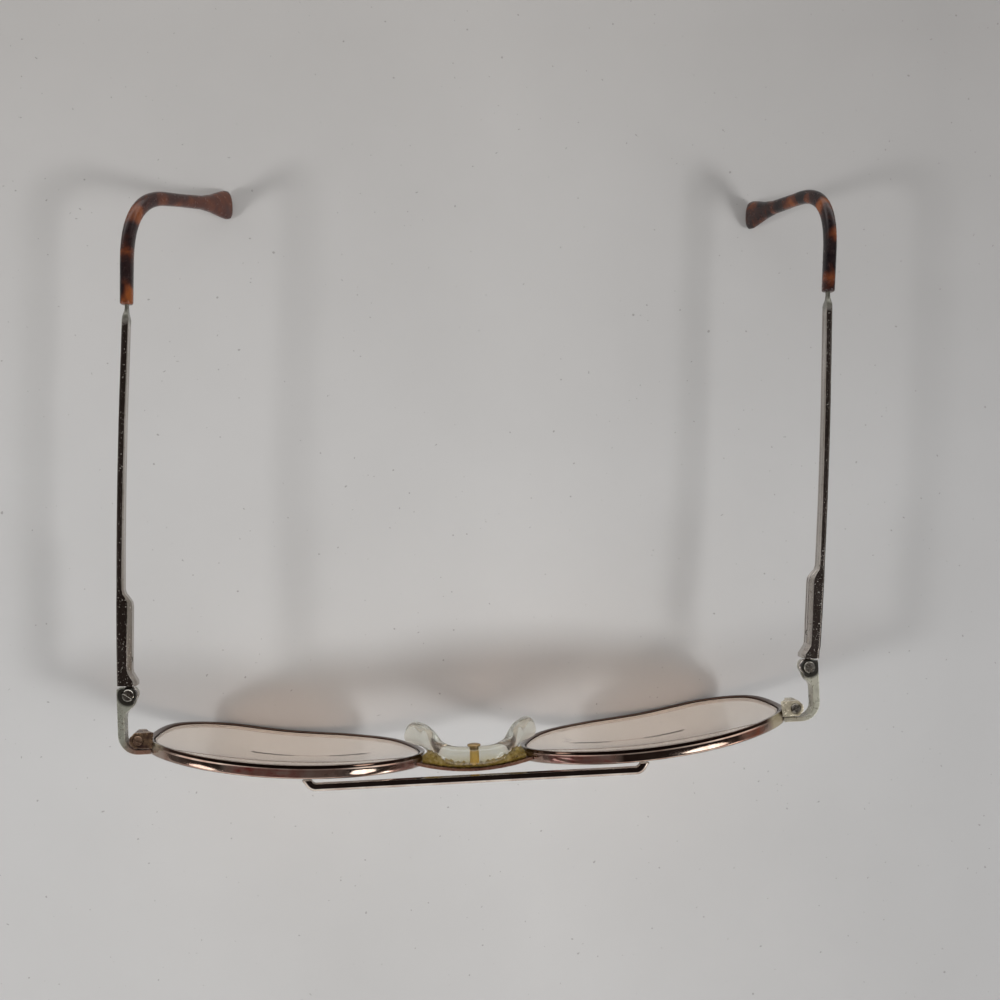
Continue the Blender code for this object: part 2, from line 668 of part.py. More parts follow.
def make_spring(side, sign, hinge):
    """The coil between the stop pin and the slider's collar."""
    radius = (SHAFT_RADIUS + BORE_RADIUS) / 2
    length = COLLAR_Y - SPRING_WIRE - RUNNING_GAP - SPRING_START
    points_per_turn = 8
    total = SPRING_TURNS * points_per_turn
    shape = bpy.data.curves.new(side + "_hinge_spring", "CURVE")
    shape.dimensions = "3D"
    shape.bevel_depth = SPRING_WIRE
    shape.bevel_resolution = 1
    shape.use_fill_caps = True
    coil = shape.splines.new("POLY")
    coil.points.add(total)
    for k in range(total + 1):
        turn = 2 * math.pi * k / points_per_turn
        x = sign * BORE_X + radius * math.cos(turn)
        coil.points[k].co = (x, SPRING_START + length * k / total, radius * math.sin(turn), 1.0)
    shape.materials.append(STEEL)
    spring = bpy.data.objects.new(side + "_hinge_spring", shape)
    spring.parent = hinge
    PARTS.objects.link(spring)
    return spring


def make_stop_pin(side, sign, hinge):
    """A pin through the housing's inner wall, whose end holds the spring's first coil."""
    start = sign * (HOUSING_INNER + PIN_INSET)
    end = sign * (BORE_X - SHAFT_RADIUS - RUNNING_GAP)
    return rod(side + "_stop_pin", PIN_RADIUS, (start, PIN_Y, 0), (end, PIN_Y, 0), hinge, STEEL, sides=12)


# Temple arms and tips

def temple_path(side):
    """The centre line of the bent temple from the hinge, with its lengths: points and a lookup."""
    values = SIDES[side]
    sign = values["sign"]
    x = ARM_OUTER - ARM_THICKNESS / 2
    drop = HINGE_Z - TIP_END_Z
    start = Vector((sign * x, BEND_START, 0.0))
    corner = Vector((sign * x, BEND_CORNER, 0.0))
    end = Vector((sign * -values["lean"], values["reach"], -drop))
    down = (end - corner).normalized()
    leave = corner + down * BEND_RUN
    points = [Vector((sign * x, 0.0, 0.0)), start]
    for k in range(1, 11):
        t = k / 10
        points.append(start * (1 - t) ** 2 + corner * (2 * t * (1 - t)) + leave * t**2)
    points.append(end)
    return points


def along_path(points, distance):
    """The point and direction at a distance along the path."""
    left = distance
    for near, far in zip(points, points[1:]):
        step = (far - near).length
        if left <= step or far is points[-1]:
            return near + (far - near) * (left / step), (far - near).normalized()
        left -= step
    return points[-1], (points[-1] - points[-2]).normalized()


def path_length(points):
    return sum((far - near).length for near, far in zip(points, points[1:]))


def section_axes(points, direction, distance):
    """The section's thin and tall axes. The tall one is upright on the straight arm, and turns
    into the plane of the bend by the end of the bend."""
    bend_end = path_length(points[:-1])
    share = min(max((distance - TIP_START) / (bend_end - TIP_START), 0.0), 1.0)
    bend = (points[1] - points[0]).cross(points[-1] - points[1]).normalized()
    in_plane = bend.cross(direction).normalized()
    tall = Vector((0.0, 0.0, -1.0)) * (1 - share) + in_plane * share
    tall = (tall - direction * tall.dot(direction)).normalized()
    return direction.cross(tall), tall


def arm_core_rings(points, start, end, radius):
    """Rings of the round core along the path."""
    rings = []
    for distance in np.linspace(start, end, 22):
        centre, direction = along_path(points, float(distance))
        thin, tall = section_axes(points, direction, float(distance))
        rings.append(rounded_ring(centre, thin, tall, radius, radius, 16))
    return rings


def make_arm(side, sign, hinge):
    """One piece of metal: the hinge housing, the flat strip, the neck and the core in the tip."""
    points = temple_path(side)
    total = path_length(points)
    front = SHOULDER_Y + SHOULDER_GAP
    strip_inner = ARM_OUTER - ARM_THICKNESS
    stations = (
        (front, FLARE_INNER, ARM_OUTER, HOUSING_HEIGHT),
        (front + FLARE_LENGTH / 2, (FLARE_INNER + HOUSING_INNER) / 2, ARM_OUTER, HOUSING_HEIGHT),
        (front + FLARE_LENGTH, HOUSING_INNER, ARM_OUTER, HOUSING_HEIGHT),
        (HOUSING_END, HOUSING_INNER, ARM_OUTER, HOUSING_HEIGHT),
        (HOUSING_END + HOUSING_TAPER, strip_inner, ARM_OUTER, (HOUSING_HEIGHT + ARM_HEIGHT) / 2),
        (HOUSING_END + HOUSING_TAPER * 2, strip_inner, ARM_OUTER, ARM_HEIGHT),
        (TIP_START - NECK_LENGTH, strip_inner, ARM_OUTER, ARM_HEIGHT),
    )
    rings = []
    for y, inner, outer, height in stations:
        centre = Vector((sign * (inner + outer) / 2, y, 0.0))
        thin, tall = section_axes(points, Vector((0, 1, 0)), y)
        rings.append(flat_sided_ring(centre, thin, tall, (outer - inner) / 2, height / 2, ARM_CORNER))
    rings += arm_core_rings(points, TIP_START - NECK_LENGTH / 4, total - CORE_END_MARGIN, CORE_RADIUS)
    arm = loft(side + "_temple_arm", rings, hinge, NICKEL)
    x = sign * BORE_X
    bore = rod(side + "_slider_bore", BORE_RADIUS, (x, 0, 0), (x, BORE_END, 0), hinge, None, CUTTERS)
    hole = rod(side + "_stop_pin_hole", PIN_RADIUS + RUNNING_GAP, (-sign * HOUSING_HEIGHT, PIN_Y, 0),
               (x, PIN_Y, 0), hinge, None, CUTTERS, sides=12)
    cut(arm, bore)
    cut(arm, hole)
    return arm


def make_tip(side, sign, hinge):
    """The tortoiseshell sleeve: an oval that narrows past the bend and flares into a paddle."""
    points = temple_path(side)
    total = path_length(points)
    rings = []
    flare = total - PADDLE_LENGTH
    waist = total - PADDLE_LENGTH * 1.7
    widths = ((TIP_START, TIP_WIDTH), (BEND_CORNER, TIP_WIDTH), (waist, TIP_WAIST), (flare, TIP_WAIST * 1.08),
              (total - PADDLE_LENGTH * 0.35, PADDLE_WIDTH), (total, PADDLE_WIDTH * 0.85))
    rounding = total - PADDLE_ROUND
    distances = list(np.linspace(TIP_START, flare, 18)) + list(np.linspace(flare, rounding, 8)[1:])
    for distance in distances:
        centre, direction = along_path(points, float(distance))
        thin, tall = section_axes(points, direction, float(distance))
        width = float(np.interp(distance, [w[0] for w in widths], [w[1] for w in widths]))
        rings.append(rounded_ring(centre, thin, tall, TIP_THICKNESS / 2, width / 2, 16, TIP_SQUARENESS))
    centre, direction = along_path(points, total)
    thin, tall = section_axes(points, direction, total)
    end_thickness = TIP_THICKNESS * 0.28
    end_width = PADDLE_WIDTH * 0.30
    rings.append(rounded_ring(centre, thin, tall, end_thickness, end_width, 16, TIP_SQUARENESS))
    tip = loft(side + "_temple_tip", rings, hinge, TORTOISESHELL)
    bore_start = TIP_START - NECK_LENGTH / 2
    bore = arm_core_rings(points, bore_start, total - CORE_END_MARGIN + SEAT_GAP, CORE_RADIUS + SEAT_GAP)
    cut(tip, loft(side + "_core_bore", bore, hinge, None, CUTTERS))
    return tip


def build():
    front = empty("front_middle", (MIDPLANE_X, MIDPLANE_Y, 0.0))
    clearances = []
    for side, values in SIDES.items():
        sign = values["sign"]
        make_rim(side, sign, front)
        make_lens(side, sign, front)
        clearance = make_rim_clearance(side, sign, front)
        clearances.append(clearance)
        make_closing_blocks(side, sign, front, clearance)
        make_endpiece(side, front, clearance)
        hinge_x, hinge_y = values["hinge"]
        place = (sign * hinge_x, hinge_y, HINGE_Z)
        hinge = empty(side + "_hinge_axis", place, yaw=-sign * values["yaw"], parent=front)
        make_slider(side, sign, hinge)
        make_spring(side, sign, hinge)
        make_stop_pin(side, sign, hinge)
        make_arm(side, sign, hinge)
        make_tip(side, sign, hinge)
    make_brow_bar(front)
    make_bridge(front, clearances)
    make_saddle(front)
    make_stud(front)


build()
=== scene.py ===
"""Looks of the aviator eyeglasses: fine metal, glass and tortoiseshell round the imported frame.

Metres, in the frame's own axes: +Z up, the front faces -Y, and -X is the wearer's right.
"""
import json
import math

import bmesh
import bpy
import numpy as np
from mathutils import Matrix, Vector
from mathutils.geometry import delaunay_2d_cdt


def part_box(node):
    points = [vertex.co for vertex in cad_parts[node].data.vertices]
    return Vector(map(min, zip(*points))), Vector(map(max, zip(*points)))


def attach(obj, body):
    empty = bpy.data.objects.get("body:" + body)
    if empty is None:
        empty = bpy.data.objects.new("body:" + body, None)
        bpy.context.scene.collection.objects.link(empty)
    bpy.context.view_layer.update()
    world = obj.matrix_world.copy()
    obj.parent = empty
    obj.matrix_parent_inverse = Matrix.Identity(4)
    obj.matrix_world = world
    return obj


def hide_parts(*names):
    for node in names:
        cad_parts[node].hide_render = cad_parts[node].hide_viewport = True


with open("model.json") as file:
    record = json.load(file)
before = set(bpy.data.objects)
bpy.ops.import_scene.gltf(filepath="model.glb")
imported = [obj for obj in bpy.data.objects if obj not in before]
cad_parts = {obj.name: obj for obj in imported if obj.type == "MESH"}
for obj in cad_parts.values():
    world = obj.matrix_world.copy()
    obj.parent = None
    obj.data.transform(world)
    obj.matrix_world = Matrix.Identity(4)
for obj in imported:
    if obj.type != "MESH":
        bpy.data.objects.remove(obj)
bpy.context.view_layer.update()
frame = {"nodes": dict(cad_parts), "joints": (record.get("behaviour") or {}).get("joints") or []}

JOINTS = {joint["name"]: joint for joint in frame["joints"]}
SIDES = {"left": 1, "right": -1}
MM = 0.001
UP = Vector((0.0, 0.0, 1.0))
SHARP_ANGLE = 32                # degrees, from which an edge stays crisp
ROUND_SIDES = 48                # of a turned piece
PLATE_STEPS = 3                 # of a plate's rounded edge

# Clearances between pieces
SEAT_GAP = 0.3 * MM
RUNNING_GAP = 0.15 * MM

# Hinge axes, outboard and back from the middle of the front. The worn frame is a little skewed.
HINGES = {"left": (71.7 * MM, -41.3 * MM), "right": (70.0 * MM, -40.5 * MM)}
HINGE_Z = JOINTS["left_temple_fold"]["pos_m"][2]
HINGE_AT = {side: Vector(JOINTS[side + "_temple_fold"]["pos_m"]) for side in SIDES}
MIDDLE = HINGE_AT["left"] - Vector((*HINGES["left"], HINGE_Z))

# Lenses
LENS_X = 39.4 * MM
LENS_Y = -57.3 * MM
LENS_Z = 23.3 * MM
LENS_WRAP = math.radians(5.6)
LENS_TILT = math.radians(0.8)
LENS_CURVE = 130 * MM
LENS_THICKNESS = 2.1 * MM
RIDGE_HEIGHT = 0.5 * MM
RIDGE_HALF_WIDTH = 0.5 * MM
SEGMENT_ACROSS = -5.0 * MM      # middle of the reading segment, from the lens's centre
SEGMENT_TOP = -3.3 * MM
SEGMENT_HALF_WIDTH = 13 * MM
SEGMENT_CROWN = 1.5 * MM        # how much the ends of its top line drop
SEGMENT_LEDGE = 0.16 * MM
SEGMENT_RISE = 0.03 * MM        # from its top line down to the ledge's full height
NET_PITCH = 1.1 * MM
SEGMENT_DEPTH = 14 * MM         # from its top line down to where it ends in the lens

# The lens opening, seen from the front: across from its centre (outwards), and up
OPENING = (
    (27.6, -2.8), (25.7, 8.6), (15.2, 17.6), (1.0, 21.7), (-13.5, 21.3), (-24.7, 14.3),
    (-27.9, 4.0), (-22.7, -11.3), (-12.2, -19.2), (2.0, -21.6), (15.8, -21.6), (25.0, -14.8),
)

# Rims: the section as outwards from the opening, back from the rim's middle, and share of painted shade.
# A ledge with painted shade runs along the rear, the inner faces are shaded too, and a chamfer leads up to
# the crowned outer face.
RIM_SECTION = (
    (0.00, -1.10, 1.0), (0.00, -0.60, 1.0), (0.50, 0.00, 1.0), (0.00, 0.60, 1.0), (0.00, 1.10, 1.0),
    (0.05, 1.20, 1.0), (0.14, 1.25, 1.0), (0.90, 1.25, 1.0), (1.00, 1.22, 1.0), (1.05, 1.14, 0.9),
    (1.06, 1.02, 0.9), (1.06, 0.66, 0.9), (1.08, 0.58, 0.5), (1.12, 0.52, 0.0), (1.22, 0.34, 0.0),
    (1.26, 0.27, 0.0), (1.28, 0.18, 0.0), (1.30, -0.05, 0.0), (1.31, -0.35, 0.0), (1.31, -0.60, 0.0),
    (1.29, -0.85, 0.0), (1.25, -1.05, 0.0), (1.19, -1.20, 0.0), (1.08, -1.31, 0.0),
    (0.92, -1.37, 0.0), (0.70, -1.38, 0.0), (0.30, -1.36, 0.0), (0.10, -1.28, 0.2),
)
RIM_CROWN = 1.2                 # mm outwards, where the crowned face starts
RIM_STEPS = 300
RIM_THICKNESS = 1.3 * MM
RIM_DEPTH = 2.5 * MM
CLEARANCE_REAR = 5.5 * MM       # kept free behind the rim, and inside its opening
CLEARANCE_INNER = 5.0 * MM
SPLIT_Z = 30.9 * MM
SPLIT_GAP = 0.4 * MM

# Closing blocks and their screws
BLOCK_INNER_X = 64.0 * MM
BLOCK_OUTER_X = 70.0 * MM
BLOCK_REAR_Y = -48.2 * MM
BLOCK_DEPTH = 3.2 * MM
BLOCK_HEIGHT = 2.4 * MM
BLOCK_CORNER = 1.0 * MM
BLOCK_BEVEL = 0.14 * MM
RIM_SCREW_X = 68.3 * MM
RIM_SCREW_RADIUS = 0.6 * MM
RIM_SCREW_HEAD = 1.0 * MM
RIM_SLOT_TURN = 25              # degrees, outwards

# Brow bar and lower bridge
BAR_HALF_LENGTH = 34.2 * MM
BAR_REAR_Y = -57.8 * MM
BAR_DEPTH = 1.35 * MM
BAR_TOP_Z = 46.4 * MM
BAR_BEND = 55                   # degrees that its ends turn back
BAR_BEND_RADIUS = 1.6 * MM
BAR_NIB_Y = -57.15 * MM
# The bar's section in mm: back from its middle, and up from its top face
BAR_SECTION = (
    (0.60, -0.05), (0.585, -0.015), (0.55, 0.0), (-0.30, 0.0), (-0.36, -0.02), (-0.80, -0.30),
    (-0.84, -0.34), (-0.855, -0.42), (-0.855, -1.86), (-0.81, -1.95), (-0.72, -2.0),
    (0.47, -2.0), (0.56, -1.95), (0.60, -1.86),
)
BRIDGE_HALF_SPAN = 12.5 * MM
BRIDGE_FRONT_Y = -58.9 * MM
BRIDGE_BOW = 1.9 * MM
BRIDGE_THICKNESS = 0.6 * MM
BRIDGE_BOTTOM_Z = 33.5 * MM
BRIDGE_HEIGHT = 3.0 * MM
BRIDGE_BEVEL = 0.15 * MM

# Saddle and stud
SADDLE_Z = 35.0 * MM
SADDLE_DEPTH = 3.9 * MM
SADDLE_HEIGHT = 4.2 * MM
SADDLE_SQUARENESS = 2.6         # power of its section's superellipse
# Half of its path in mm: outwards, back and down from the middle, the turn of the width axis, and
# the section's half width and half thickness
SADDLE_STATIONS = (
    (3.4, 0.10, 0.1, 0.00, 1.95, 2.00),
    (5.7, 0.50, 0.7, 0.00, 2.05, 1.80),
    (7.3, 1.10, 2.0, 0.04, 2.25, 1.50),
    (8.2, 1.85, 4.0, 0.07, 2.80, 1.25),
    (9.1, 2.65, 6.0, 0.16, 3.10, 1.10),
    (10.65, 3.55, 8.0, 0.27, 2.80, 1.00),
    (12.0, 3.35, 10.5, 0.27, 2.55, 0.85),
    (13.0, 2.65, 13.0, 0.32, 1.90, 0.70),
    (13.7, 1.80, 15.2, 0.32, 1.00, 0.55),
    (13.8, 1.20, 16.5, 0.32, 0.35, 0.30),
)
GLUE_REACH = 10.7 * MM          # of the glue line, from its middle to either end
GLUE_TAPER = 0.88               # share of the reach from which it gets thinner again
GLUE_DEPTH = 1.30               # mm, in the middle
STUD_RADIUS = 0.95 * MM
STUD_HEAD_RADIUS = 1.4 * MM
STUD_HEAD_LENGTH = 0.6 * MM
STUD_HEAD_Y = BRIDGE_FRONT_Y + BRIDGE_THICKNESS + SEAT_GAP + SADDLE_DEPTH + STUD_HEAD_LENGTH / 2
STUD_HEAD_AT = MIDDLE + Vector((0.0, STUD_HEAD_Y, SADDLE_Z))

# Endpieces and hinges
HINGE_HEIGHT = 3.6 * MM
KNUCKLE_RADIUS = 1.7 * MM
LUG_THICKNESS = 1.1 * MM
STRAP_OUTER = {"left": 1.95 * MM, "right": 2.30 * MM}
STRAP_SIDE_THICKNESS = 1.4 * MM
STRAP_FRONT_THICKNESS = 0.95 * MM
STRAP_CORNER = 4.0 * MM
STRAP_BEVEL = 0.18 * MM
# The strap's inner side from the knuckle to its straight run, in mm from the hinge
STRAP_HOLLOW = ((-1.20, -1.20), (-0.98, -2.05), (-0.45, -2.84), (0.15, -3.42), (0.46, -4.05), (0.55, -5.0))
SHOULDER_Y = 1.35 * MM
SHOULDER_GAP = 0.5 * MM
HINGE_HEAD_RADIUS = 1.20 * MM
HINGE_SLOT_TURN = {"left": -80, "right": -35}    # degrees, as the screws were left
SCREW_RADIUS = 0.65 * MM
HEAD_HEIGHT = 0.45 * MM
SLOT_WIDTH = 0.40 * MM
SLOT_DEPTH = 0.30 * MM
WORN_EDGE = 0.07 * MM           # of the screws' heads

# The shaft behind the slider's tongue, in mm: outwards, back, half width and height, and squareness.
# It ends in a collar, and runs in the housing's bore.
SHAFT_OUT = 0.7
SHAFT_STATIONS = [
    (SHAFT_OUT, 2.45, 0.5, 0.5, 3.0),
    (SHAFT_OUT, 13.3, 0.5, 0.5, 2.0),
    (SHAFT_OUT, 13.3, 0.78, 0.78, 2.0),
    (SHAFT_OUT, 14.1, 0.78, 0.78, 2.0),
]
BORE_RADIUS = 0.95 * MM
BORE_END = 15.7 * MM
PIN_RADIUS = 0.4 * MM
PIN_Y = 7.2 * MM
PIN_HOLE = (0.23 * MM, 3.0 * MM)    # from the shaft's middle inwards

# Temple arms and tips, in the hinge's axes
ARM_OUTER = 1.9 * MM
ARM_THICKNESS = 1.35 * MM
ARM_HEIGHT = 3.1 * MM
ARM_CORNER = 0.16 * MM
ARM_MIDDLE = ARM_OUTER - ARM_THICKNESS / 2
STRIP_INNER = ARM_OUTER - ARM_THICKNESS
STRIP_GROOVE = 0.05 * MM
HOUSING_INNER = -0.45 * MM
HOUSING_HEIGHT = 3.5 * MM
HOUSING_END = 18.0 * MM
HOUSING_TAPER = 2.7 * MM
# The housing's flared front, in mm: back from its end, inner face, height taken off, share of the grooves
HOUSING_STATIONS = (
    (0.0, -1.50, 0.2, 0.0), (0.12, -1.66, 0.0, 0.0), (0.9, -1.62, 0.0, 0.0), (1.7, -1.15, 0.0, 0.0),
    (2.6, -0.58, 0.0, 0.5), (3.3, -0.45, 0.0, 1.0),
)
# Its run-out into the strip: share of the length, and share of the change
HOUSING_RUN_OUT = ((0.0, 0.0), (0.25, 0.08), (0.5, 0.42), (0.75, 0.85), (1.0, 1.0))
LEAST_SLOPE = 0.02 * MM
HOUSING_SLOPE = 0.65 * MM       # how far the inner face leans in at its top
STRIP_SLOPE = 0.24 * MM         # the same where the strip leaves the housing
ARM_EDGE = {"left": 0.40 * MM, "right": 0.26 * MM}
ARM_GROOVE = {"left": 0.24 * MM, "right": 0.10 * MM}
# The arms are bowed: distance from the hinge and shift outwards, in mm
ARM_BOW = ((1.8, 0.35), (13.0, 0.60), (25.0, 0.70), (35.0, 0.73), (45.0, 0.67), (55.0, 0.53), (65.0, 0.30),
           (73.0, 0.10), (77.0, 0.0))
LEFT_FRONT_BOW = 0.6            # share of the bow at the left housing's front
LEFT_FRONT_END = 4.0 * MM
NECK_START = 76.9 * MM
CORE_RADIUS = 0.6 * MM
CORE_SHORT = 6.0 * MM           # how far before the tip's end the core ends
TIP_START = 80.0 * MM
BEND_START = 89.0 * MM
BEND_CORNER = 102.5 * MM
BEND_RUN = 12.0 * MM
TIP_THICKNESS = 2.65 * MM
TIP_WIDTH = 3.2 * MM
TIP_WAIST = 2.8 * MM
TIP_SQUARENESS = 2.35
PADDLE_WIDTH = 6.4 * MM
PADDLE_LENGTH = 11.0 * MM
TIP_END_Z = 0.3 * MM
TIP_ENDS = {"left": (102.5 * MM, 8.9 * MM), "right": (108.0 * MM, 15.55 * MM)}
# Blotches of the acetate, in mm: distance along the sleeve, inwards, radius, and how dark or amber
TIP_BLOTCHES = {
    "right": (
        (2.0, 1.2, 2.8, 0.22), (2.5, -1.4, 2.6, -0.24), (6.2, 0.3, 4.8, -0.30), (10.5, -1.0, 3.0, 0.22),
        (14.5, 1.2, 3.2, -0.26), (18.5, -0.3, 3.4, 0.20), (23.5, 0.0, 3.6, -0.15), (28.5, 0.0, 2.6, 0.16),
        (32.0, 0.0, 3.0, -0.12), (38.0, 0.0, 2.8, 0.16),
    ),
    "left": (
        (2.2, -0.5, 2.8, 0.14), (7.5, 0.4, 4.8, -0.30), (12.0, -1.2, 3.2, 0.26), (13.5, 1.4, 2.6, -0.20),
        (18.5, 0.4, 3.0, 0.12), (22.0, -0.8, 3.0, -0.20), (25.2, 0.0, 2.0, 0.16), (27.6, 0.0, 2.2, -0.26),
        (31.5, 0.0, 3.0, 0.12), (36.5, 0.0, 2.6, -0.22),
    ),
}

# Marks on the rims, painted reflections in dark red-brown on the crown and pale ends: where from the middle
# and how large, in mm, their share and their colour
RIM_PAINTED_REFLECTIONS = (
    ((-45.0, -54.9, 44.6), 6.0, 1.0, (0.100, 0.015, 0.012)),
    ((-38.0, -55.6, 45.2), 6.0, 1.0, (0.090, 0.015, 0.012)),
    ((-31.0, -56.0, 45.2), 6.0, 0.80, (0.045, 0.012, 0.010)),
    ((-13.1, -56.9, 40.0), 5.0, 0.80, (0.140, 0.030, 0.020)),
    ((17.2, -55.8, 42.0), 6.0, 1.0, (0.110, 0.018, 0.014)),
    ((23.5, -56.1, 45.0), 6.0, 1.0, (0.100, 0.017, 0.013)),
    ((57.5, -53.9, 40.5), 5.0, 1.0, (0.160, 0.040, 0.018)),
)
RIM_PALE_ENDS = (
    ((-65.3, -49.2, 34.0), 4.0, 0.90, (0.400, 0.350, 0.250)),
    ((63.8, -52.4, 35.0), 4.0, 0.85, (0.380, 0.330, 0.220)),
)
DUST_ON_METAL = (0.55, 0.52, 0.46)
DUST_SHINE = 0.2                # how metallic dust, stains and painted marks look
STAIN_AND_PAINTED_LIGHT_SHINE = 0.35


# Mesh helpers

def clamp(value):
    return min(max(value, 0.0), 1.0)


def loft(rings, endless=False):
    """Points and faces of a closed body through rings of points."""
    count = len(rings[0])
    points = [point for ring in rings for point in ring]
    faces = []
    for near in range(len(rings) if endless else len(rings) - 1):
        far = (near + 1) % len(rings)
        for k in range(count):
            after = (k + 1) % count
            faces.append((near * count + k, near * count + after, far * count + after, far * count + k))
    if not endless:
        faces.append(tuple(range(count)))
        faces.append(tuple((len(rings) - 1) * count + k for k in range(count)))
    return points, faces


def mesh_object(name, points, faces, finish, sharp=SHARP_ANGLE):
    """An object with its faces pointing out and its round sides smooth."""
    work = bmesh.new()
    corners = [work.verts.new(point) for point in points]
    for face in faces:
        work.faces.new([corners[k] for k in face])
    bmesh.ops.recalc_face_normals(work, faces=work.faces)
    mesh = bpy.data.meshes.new(name)
    work.to_mesh(mesh)
    work.free()
    mesh.materials.append(finish)
    mesh.shade_smooth()
    mesh.set_sharp_from_angle(angle=math.radians(sharp))
    made = bpy.data.objects.new(name, mesh)
    bpy.context.scene.collection.objects.link(made)
    return made


def lofted(name, rings, finish, sharp=SHARP_ANGLE, endless=False):
    return mesh_object(name, *loft(rings, endless), finish, sharp)


def dress(piece, node, body, flat_faces=True):
    """The piece stands for a node of the frame, which is hidden, and moves with its body; its flat faces
    shade flat unless told not to.
    """
    if flat_faces:
        step = piece.modifiers.new("flat_faces", "WEIGHTED_NORMAL")
        step.keep_sharp = True
    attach(piece, body)
    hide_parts(node)


def carve(piece, *cutters):
    """Cuts the cutters out of a piece for good, and removes them."""
    for cutter in cutters:
        step = piece.modifiers.new("cut", "BOOLEAN")
        step.operation = "DIFFERENCE"
        step.object = cutter
    bpy.context.view_layer.update()
    seen = piece.evaluated_get(bpy.context.evaluated_depsgraph_get())
    mesh = bpy.data.meshes.new_from_object(seen)
    piece.modifiers.clear()
    piece.data = mesh
    mesh.shade_smooth()
    mesh.set_sharp_from_angle(angle=math.radians(SHARP_ANGLE))
    for cutter in cutters:
        bpy.data.objects.remove(cutter, do_unlink=True)


def arc(centre, radius, start, end, steps):
    """Points of an arc in the plan, in degrees."""
    turns = np.radians(np.linspace(start, end, steps + 1))
    return [(centre[0] + radius * math.cos(t), centre[1] + radius * math.sin(t)) for t in turns]


def inset(outline, amount):
    """A closed outline moved inwards, with mitred corners."""
    points = np.array(outline)
    before = points - np.roll(points, 1, axis=0)
    after = np.roll(points, -1, axis=0) - points
    before /= np.linalg.norm(before, axis=1)[:, None]
    after /= np.linalg.norm(after, axis=1)[:, None]
    near = np.stack((-before[:, 1], before[:, 0]), axis=1)
    far = np.stack((-after[:, 1], after[:, 0]), axis=1)
    middle = near + far
    middle /= np.linalg.norm(middle, axis=1)[:, None]
    reach = amount / np.maximum(np.sum(middle * near, axis=1), 0.4)
    return points + middle * reach[:, None]


def counter_clockwise(outline):
    points = np.array(outline)
    after = np.roll(points, -1, axis=0)
    area = np.sum(points[:, 0] * after[:, 1] - after[:, 0] * points[:, 1])
    return list(outline) if area > 0 else list(reversed(outline))


def soft_plate(outline, bottom, top, bevel):
    """Rings of a flat plate of the front, with rounded upper and lower edges."""
    outline = counter_clockwise(outline)
    levels = []
    for turn in np.linspace(0, math.pi / 2, PLATE_STEPS + 1):
        inwards, rise = bevel * (1 - math.cos(turn)), bevel * (1 - math.sin(turn))
        levels.insert(0, (inwards, bottom + rise))
        levels.append((inwards, top - rise))
    return [[MIDDLE + Vector((x, y, z)) for x, y in inset(outline, inwards)] for inwards, z in levels]


def turned(profile, place, sides=ROUND_SIDES):
    """Rings of a body turned about the place's Z axis: radius and height."""
    turns = np.linspace(0, 2 * math.pi, sides, endpoint=False)
    return [[place @ Vector((r * math.cos(t), r * math.sin(t), z)) for t in turns] for r, z in profile]


def cutter_rod(name, radius, low, high, place, sides=ROUND_SIDES):
    return lofted(name, turned(((radius, low), (radius, high)), place, sides), PLAIN)


def cutter_box(name, half, centre, place):
    x, y, z = half
    corners = [(-x, -y), (x, -y), (x, y), (-x, y)]
    move = place @ Matrix.Translation(centre)
    return lofted(name, [[move @ Vector((a, b, level)) for a, b in corners] for level in (-z, z)], PLAIN)


def superellipse(half_x, half_y, count, power):
    points = []
    for k in range(count):
        turn = 2 * math.pi * (k + 0.5) / count
        c, s = math.cos(turn), math.sin(turn)
        reach = (abs(c) ** power + abs(s) ** power) ** (-1 / power)
        points.append((half_x * reach * c, half_y * reach * s))
    return points


def smooth_through(rows, steps):
    """Rows of numbers made denser by a Catmull-Rom spline, with the ends kept."""
    rows = np.array(rows, float)
    padded = np.vstack((2 * rows[0] - rows[1], rows, 2 * rows[-1] - rows[-2]))
    made = []
    for k in range(len(rows) - 1):
        a, b, c, d = padded[k:k + 4]
        for t in np.arange(steps) / steps:
            made.append(0.5 * (2 * b + (c - a) * t + (2 * a - 5 * b + 4 * c - d) * t**2
                               + (3 * b - a - 3 * c + d) * t**3))
    made.append(rows[-1])
    return np.array(made)


# Material helpers

def new_material(name):
    made = bpy.data.materials.new(name)
    made.use_nodes = True
    return made, made.node_tree, made.node_tree.nodes["Principled BSDF"]


def add_node(tree, kind, **settings):
    node = tree.nodes.new(kind)
    for name, value in settings.items():
        setattr(node, name, value)
    return node


def fill(tree, socket, value):
    """Links an output to the socket, or sets the socket's value."""
    if hasattr(value, "is_output"):
        tree.links.new(value, socket)
    elif socket.type == "RGBA":
        colour = value if isinstance(value, tuple) else (value,) * 3
        socket.default_value = (*colour, 1.0)
    else:
        socket.default_value = value


def plug(tree, node, **inputs):
    """Fills a node's inputs by name."""
    for name, value in inputs.items():
        fill(tree, node.inputs[name.replace("_", " ")], value)


def object_point(tree):
    """Object coordinates: the same for every piece, in metres."""
    return tree.nodes.new("ShaderNodeTexCoord").outputs["Object"]


def noise(tree, scale, detail=3.0, roughness=0.55, stretch=(1, 1, 1), distortion=0.0, turn=(0, 0, 0)):
    move = tree.nodes.new("ShaderNodeMapping")
    plug(tree, move, Vector=object_point(tree), Scale=stretch, Rotation=turn)
    node = tree.nodes.new("ShaderNodeTexNoise")
    plug(tree, node, Vector=move.outputs["Vector"], Scale=scale, Detail=detail, Roughness=roughness,
         Distortion=distortion)
    return node.outputs["Fac"]


def ramp(tree, source, stops):
    node = tree.nodes.new("ShaderNodeValToRGB")
    elements = node.color_ramp.elements
    while len(elements) < len(stops):
        elements.new(0.5)
    for element, (position, colour) in zip(elements, stops):
        element.position = position
        element.color = (*colour, 1.0)
    plug(tree, node, Fac=source)
    return node.outputs["Color"]


